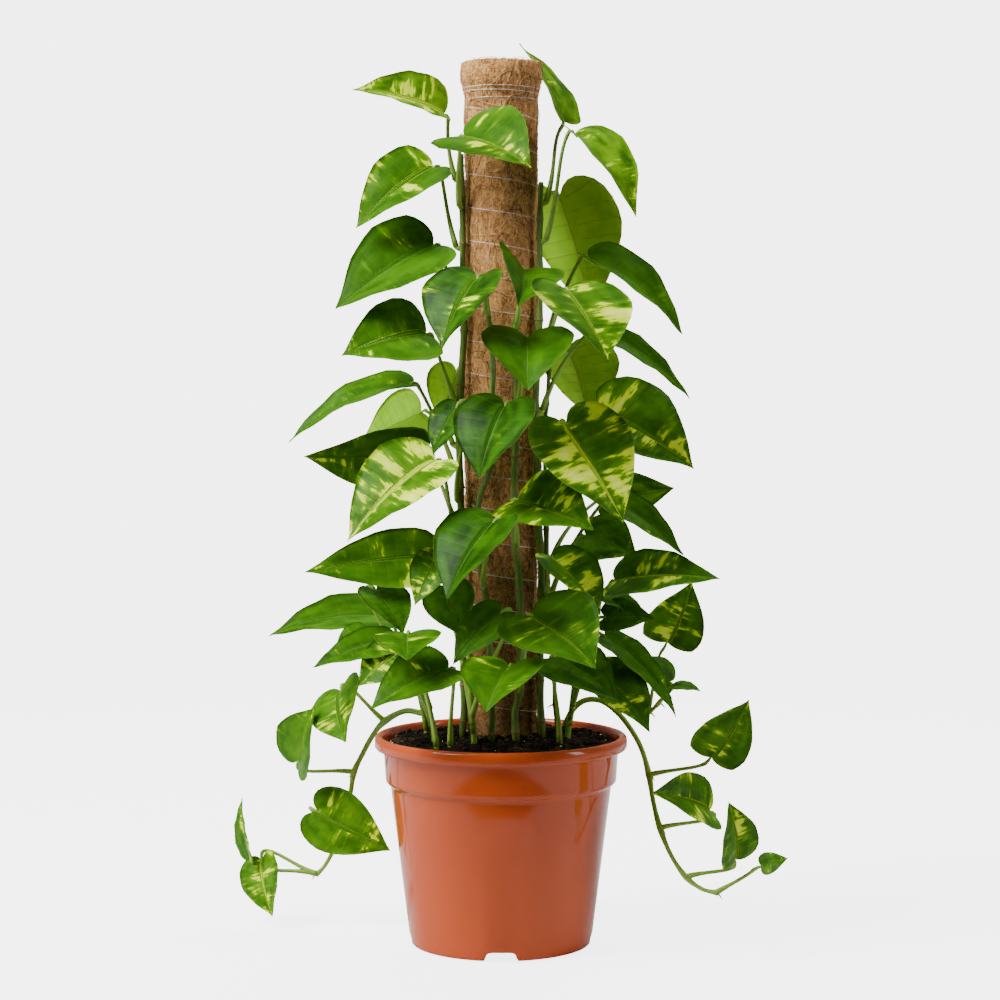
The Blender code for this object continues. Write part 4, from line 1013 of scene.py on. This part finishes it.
def build_pole(core_node, sleeve_node):
    rng = random.Random(11)
    around, levels = 120, 150
    verts, faces = [], []
    z0, z1 = 150.0, POLE_TOP - 2.5
    for i in range(levels + 1):
        z = z0 + (z1 - z0) * i / levels
        for j in range(around):
            a = 2 * math.pi * j / around
            r = coir_radius(a, z)
            fine = noise.fractal(Vector((math.cos(a) * 9.0, math.sin(a) * 9.0, z * 0.3)), 0.8, 2.0, 3)
            r += 0.35 * fine
            verts.append(Vector((r * math.cos(a), r * math.sin(a), z + (0.8 * fine if i == levels else 0.0))))
    for i in range(levels):
        for j in range(around):
            m = (j + 1) % around
            faces.append((i * around + j, i * around + m, (i + 1) * around + m, (i + 1) * around + j))
    # the matted top, dished towards the middle
    last = levels * around
    prev = [last + j for j in range(around)]
    for step, (f, dz) in enumerate(((0.93, 1.2), (0.80, 1.0), (0.6, -0.5), (0.3, -1.8))):
        ring = []
        for j in range(around):
            a = 2 * math.pi * j / around
            p = verts[last + j]
            n = noise.noise(Vector((p.x * 0.3 * f, p.y * 0.3 * f, step)))
            ring.append(len(verts))
            verts.append(Vector((p.x * f, p.y * f, min(z1 + dz + n * 1.2, POLE_TOP - 0.3))))
        for j in range(around):
            m = (j + 1) % around
            faces.append((prev[j], prev[m], ring[m], ring[j]))
        prev = ring
    centre = len(verts)
    verts.append(Vector((0, 0, z1 - 2.0)))
    for j in range(around):
        faces.append((prev[j], prev[(j + 1) % around], centre))
    k = Nodes("coir_mat")
    coord = k.coord()
    fibre = k.noise(k.mapped(coord, (320.0, 320.0, 90.0)), 1.0, 5.0, 0.7, 1.2)
    cross = k.noise(k.mapped(coord, (90.0, 90.0, 420.0)), 1.0, 4.0, 0.7, 1.0)
    patch = k.noise(coord, 26.0, 3.0)
    sep = k.node("ShaderNodeSeparateXYZ")
    k.link(coord, sep.inputs[0])
    low = k.ramp(sep.outputs[2], 0.42, 0.22)
    colour = k.mix(k.ramp(fibre, 0.35, 0.68), (0.34, 0.148, 0.046), (0.96, 0.50, 0.175))
    colour = k.mix(k.math("MULTIPLY", k.ramp(cross, 0.5, 0.75), 0.55), colour, (0.70, 0.42, 0.20))
    colour = k.mix(k.math("MULTIPLY", k.ramp(patch, 0.5, 0.72), 0.4), colour, (0.42, 0.19, 0.070))
    colour = k.mix(k.math("MULTIPLY", low, 0.60), colour, (0.050, 0.020, 0.007))
    height = k.math("ADD", fibre, cross)
    mat = k.set(Base_Color=colour, Roughness=0.95, Specular_IOR_Level=0.15, Normal=k.bump(height, 1.0, 0.002))
    body = new_object("coir_body", verts, faces, [mat])
    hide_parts(*[n for n in (sleeve_node, core_node) if n])
    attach(body, "root")

    # loose fibres lying over the mat
    tones = []
    for i, (a, b) in enumerate((((0.66, 0.33, 0.125), (0.86, 0.48, 0.21)), ((0.26, 0.110, 0.036), (0.50, 0.235, 0.085)),
                                ((0.86, 0.50, 0.22), (0.95, 0.64, 0.34)), ((0.09, 0.038, 0.014), (0.17, 0.075, 0.028)))):
        k = Nodes(f"coir_fibre_{i}")
        n = k.noise(k.coord(), 160.0, 2.0)
        sep = k.node("ShaderNodeSeparateXYZ")
        k.link(k.coord(), sep.inputs[0])
        low = k.math("MULTIPLY", k.ramp(sep.outputs[2], 0.42, 0.22), 0.5)
        colour = k.mix(low, k.mix(n, a, b), (0.07, 0.03, 0.011))
        tones.append(k.set(Base_Color=colour, Roughness=0.8, Specular_IOR_Level=0.2))
    verts, faces, slots = [], [], []
    total = 5200
    for f in range(total):
        z = rng.uniform(165.0, POLE_TOP - 4.0)
        a = rng.uniform(0, 2 * math.pi)
        heading = rng.uniform(0, 2 * math.pi)
        curl = rng.uniform(-0.5, 0.5)
        steps = rng.randint(5, 9)
        stride = rng.uniform(2.0, 4.2)
        lift = rng.uniform(-0.1, 0.7)
        hang = rng.random() < 0.10
        pts = []
        for s in range(steps):
            r = coir_radius(a, z) + 0.15 + lift * math.sin(math.pi * s / (steps - 1)) + (0.9 * s / steps if hang else 0.0)
            zz = min(z, POLE_TOP - 0.6)
            if zz > 700:
                r = min(r, POLE_FLARE - 0.2)
            pts.append(Vector((r * math.cos(a), r * math.sin(a), zz)))
            a += math.cos(heading) * stride / POLE_RADIUS
            z += math.sin(heading) * stride
            heading += curl + rng.uniform(-0.25, 0.25)
            if z < 160.0:
                z = 160.0
        width = rng.uniform(0.10, 0.24)
        off = len(verts)
        for i, p in enumerate(pts):
            q = pts[min(i + 1, len(pts) - 1)] - pts[max(i - 1, 0)]
            d = q.normalized() if q.length > 1e-6 else Vector((0, 0, 1))
            out = Vector((p.x, p.y, 0)).normalized()
            side = d.cross(out)
            side = side.normalized() if side.length > 1e-6 else Vector((0, 0, 1))
            w = width * (1.0 if 0 < i < len(pts) - 1 else 0.4)
            verts.extend([p + side * w, p - side * w, p + out * w * 1.2])
        for i in range(len(pts) - 1):
            b0, b1 = off + 3 * i, off + 3 * (i + 1)
            for u, v in ((0, 2), (2, 1), (1, 0)):
                faces.append((b0 + u, b0 + v, b1 + v, b1 + u))
                slots.append(0)
        slot = rng.choices((0, 1, 2, 3), (5, 3, 3, 2))[0]
        for q in range(3 * (len(pts) - 1)):
            slots[-1 - q] = slot
    fibres = new_object("coir_fibres", verts, faces, tones, slots)
    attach(fibres, "root")

    # binding thread: one long helix and the closer turns that tie it off
    b = Builder()
    def wind(z_of, turns, phase, radius):
        pts = []
        count = int(turns * 40)
        for i in range(count + 1):
            a = phase - 2 * math.pi * i / 40
            z = z_of(i / count)
            r = coir_radius(a, z) + radius * 0.7
            pts.append(Vector((r * math.cos(a), r * math.sin(a), z)))
        return pts
    low, high = 178.0, 700.0
    turns = (high - low) / THREAD_PITCH
    for phase, radius, dz in ((math.radians(200), 0.34, 0.0),):
        pts = wind(lambda t: low + (high - low) * t, turns, phase, radius)
        b.tube(pts, [radius] * len(pts), 6, 0)
    for z, tilt in ((702.5, 1.2), (706.0, -0.9), (697.0, 0.6)):
        pts = wind(lambda t, z=z, tilt=tilt: z + tilt * math.sin(2 * math.pi * t), 1.0, 0.3 + z, 0.4)
        b.tube(pts, [0.34] * len(pts), 6, 0)
    k = Nodes("binding_thread")
    n = k.noise(k.coord(), 90.0, 2.0)
    mat = k.set(Base_Color=k.mix(n, (0.82, 0.64, 0.54), (0.95, 0.82, 0.74)), Roughness=0.22, Specular_IOR_Level=0.6)
    obj = b.build("thread_fine", [mat])
    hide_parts("binding_thread")
    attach(obj, "root")


k = Nodes("node_scar")
n = k.noise(k.coord(), 500.0, 3.0)
SCAR = k.set(Base_Color=k.mix(n, rgb(104, 74, 40), rgb(152, 116, 68)), Roughness=0.7, Normal=k.bump(n, 0.5, 0.0005))


# ---------------------------------------------------------------- stage
def build_stage():
    wide, near, far = 3.0, -0.33, 4.0
    verts = [(-wide, near, 0.0), (wide, near, 0.0), (wide, far, 0.0), (-wide, far, 0.0)]
    floor = new_object("floor", [Vector(v) * 1000.0 for v in verts], [(0, 1, 2, 3)], [], smooth=False)
    k = Nodes("floor_pale")
    k.set(Base_Color=(0.58, 0.58, 0.58, 1.0), Roughness=0.7, Specular_IOR_Level=0.1)
    # the sweep is lifted to a near white where it is seen, as a lit backdrop is
    path = k.node("ShaderNodeLightPath")
    glow = k.node("ShaderNodeEmission")
    glow.inputs[1].default_value = 4.0
    both = k.node("ShaderNodeAddShader")
    k.link(k.shader.outputs[0], both.inputs[0])
    k.link(glow.outputs[0], both.inputs[1])
    switch = k.node("ShaderNodeMixShader")
    k.link(path.outputs["Is Camera Ray"], switch.inputs[0])
    k.link(k.shader.outputs[0], switch.inputs[1])
    k.link(both.outputs[0], switch.inputs[2])
    clear = k.node("ShaderNodeBsdfTransparent")
    spread = k.node("ShaderNodeVectorMath", operation="LENGTH")
    k.link(k.coord(), spread.inputs[0])
    fade = k.node("ShaderNodeMixShader")
    k.link(k.ramp(spread.outputs["Value"], 0.9, 2.6), fade.inputs[0])
    k.link(switch.outputs[0], fade.inputs[1])
    k.link(clear.outputs[0], fade.inputs[2])
    k.link(fade.outputs[0], k.out.inputs[0])
    floor.data.materials.append(k.mat)
    floor.location.z = -0.0003

    world = bpy.data.worlds.new("studio")
    world.use_nodes = True
    tree = world.node_tree
    back = tree.nodes["Background"]
    back.inputs[0].default_value = (1.0, 1.0, 1.0, 1.0)
    # the side the plant is looked at from is the dark side of the studio
    around = tree.nodes.new("ShaderNodeTexCoord")
    split = tree.nodes.new("ShaderNodeSeparateXYZ")
    dim = tree.nodes.new("ShaderNodeMapRange")
    dim.inputs["From Min"].default_value = -0.56
    dim.inputs["From Max"].default_value = -0.44
    dim.inputs["To Min"].default_value = 0.05
    dim.inputs["To Max"].default_value = 0.34
    tree.links.new(around.outputs["Generated"], split.inputs[0])
    tree.links.new(split.outputs["Y"], dim.inputs["Value"])
    tree.links.new(dim.outputs["Result"], back.inputs[1])
    seen = tree.nodes.new("ShaderNodeBackground")
    seen.inputs[0].default_value = (1.0, 1.0, 1.0, 1.0)
    seen.inputs[1].default_value = 5.0
    path = tree.nodes.new("ShaderNodeLightPath")
    switch = tree.nodes.new("ShaderNodeMixShader")
    tree.links.new(path.outputs["Is Camera Ray"], switch.inputs[0])
    tree.links.new(back.outputs[0], switch.inputs[1])
    tree.links.new(seen.outputs[0], switch.inputs[2])
    tree.links.new(switch.outputs[0], tree.nodes["World Output"].inputs[0])
    bpy.context.scene.world = world

    def area(name, location, target, size_x, size_y, power):
        light = bpy.data.lights.new(name, "AREA")
        light.shape = "RECTANGLE"
        light.size, light.size_y = size_x, size_y
        light.energy = power
        obj = bpy.data.objects.new(name, light)
        obj.location = location
        direction = Vector(target) - Vector(location)
        obj.rotation_euler = direction.to_track_quat("-Z", "Y").to_euler()
        bpy.context.scene.collection.objects.link(obj)
        return obj

    area("key", (-1.45, -0.85, 2.25), (0.0, 0.0, 0.4), 1.0, 1.5, 138.0)
    side = area("left_panel", (-1.5, -0.55, 0.45), (0.0, 0.0, 0.15), 0.7, 1.0, 9.0)
    side.visible_glossy = False
    area("fill", (2.0, -0.6, 0.9), (0.0, 0.0, 0.35), 0.4, 1.4, 15.0)
    top = area("back", (0.4, 1.5, 2.2), (0.0, 0.0, 0.5), 1.6, 1.0, 66.0)
    top.visible_glossy = False

    camera = bpy.data.cameras.new("camera")
    camera.sensor_width = 36.0
    camera.lens = 36.0 * SHEET_FOCAL / 1000.0
    obj = bpy.data.objects.new("camera", camera)
    obj.location = tuple(c * MM for c in SHEET_EYE)
    obj.rotation_euler = (math.radians(90.0) - SHEET_TILT, 0.0, 0.0)
    bpy.context.scene.collection.objects.link(obj)
    bpy.context.scene.camera = obj


names = set(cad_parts)
build_stems()
build_leaves()
build_groups()
build_pot()
build_soil()
build_pole("pole_core" if "pole_core" in names else None,
           "coir_sleeve" if "coir_sleeve" in names else "coir_pole")
build_stage()
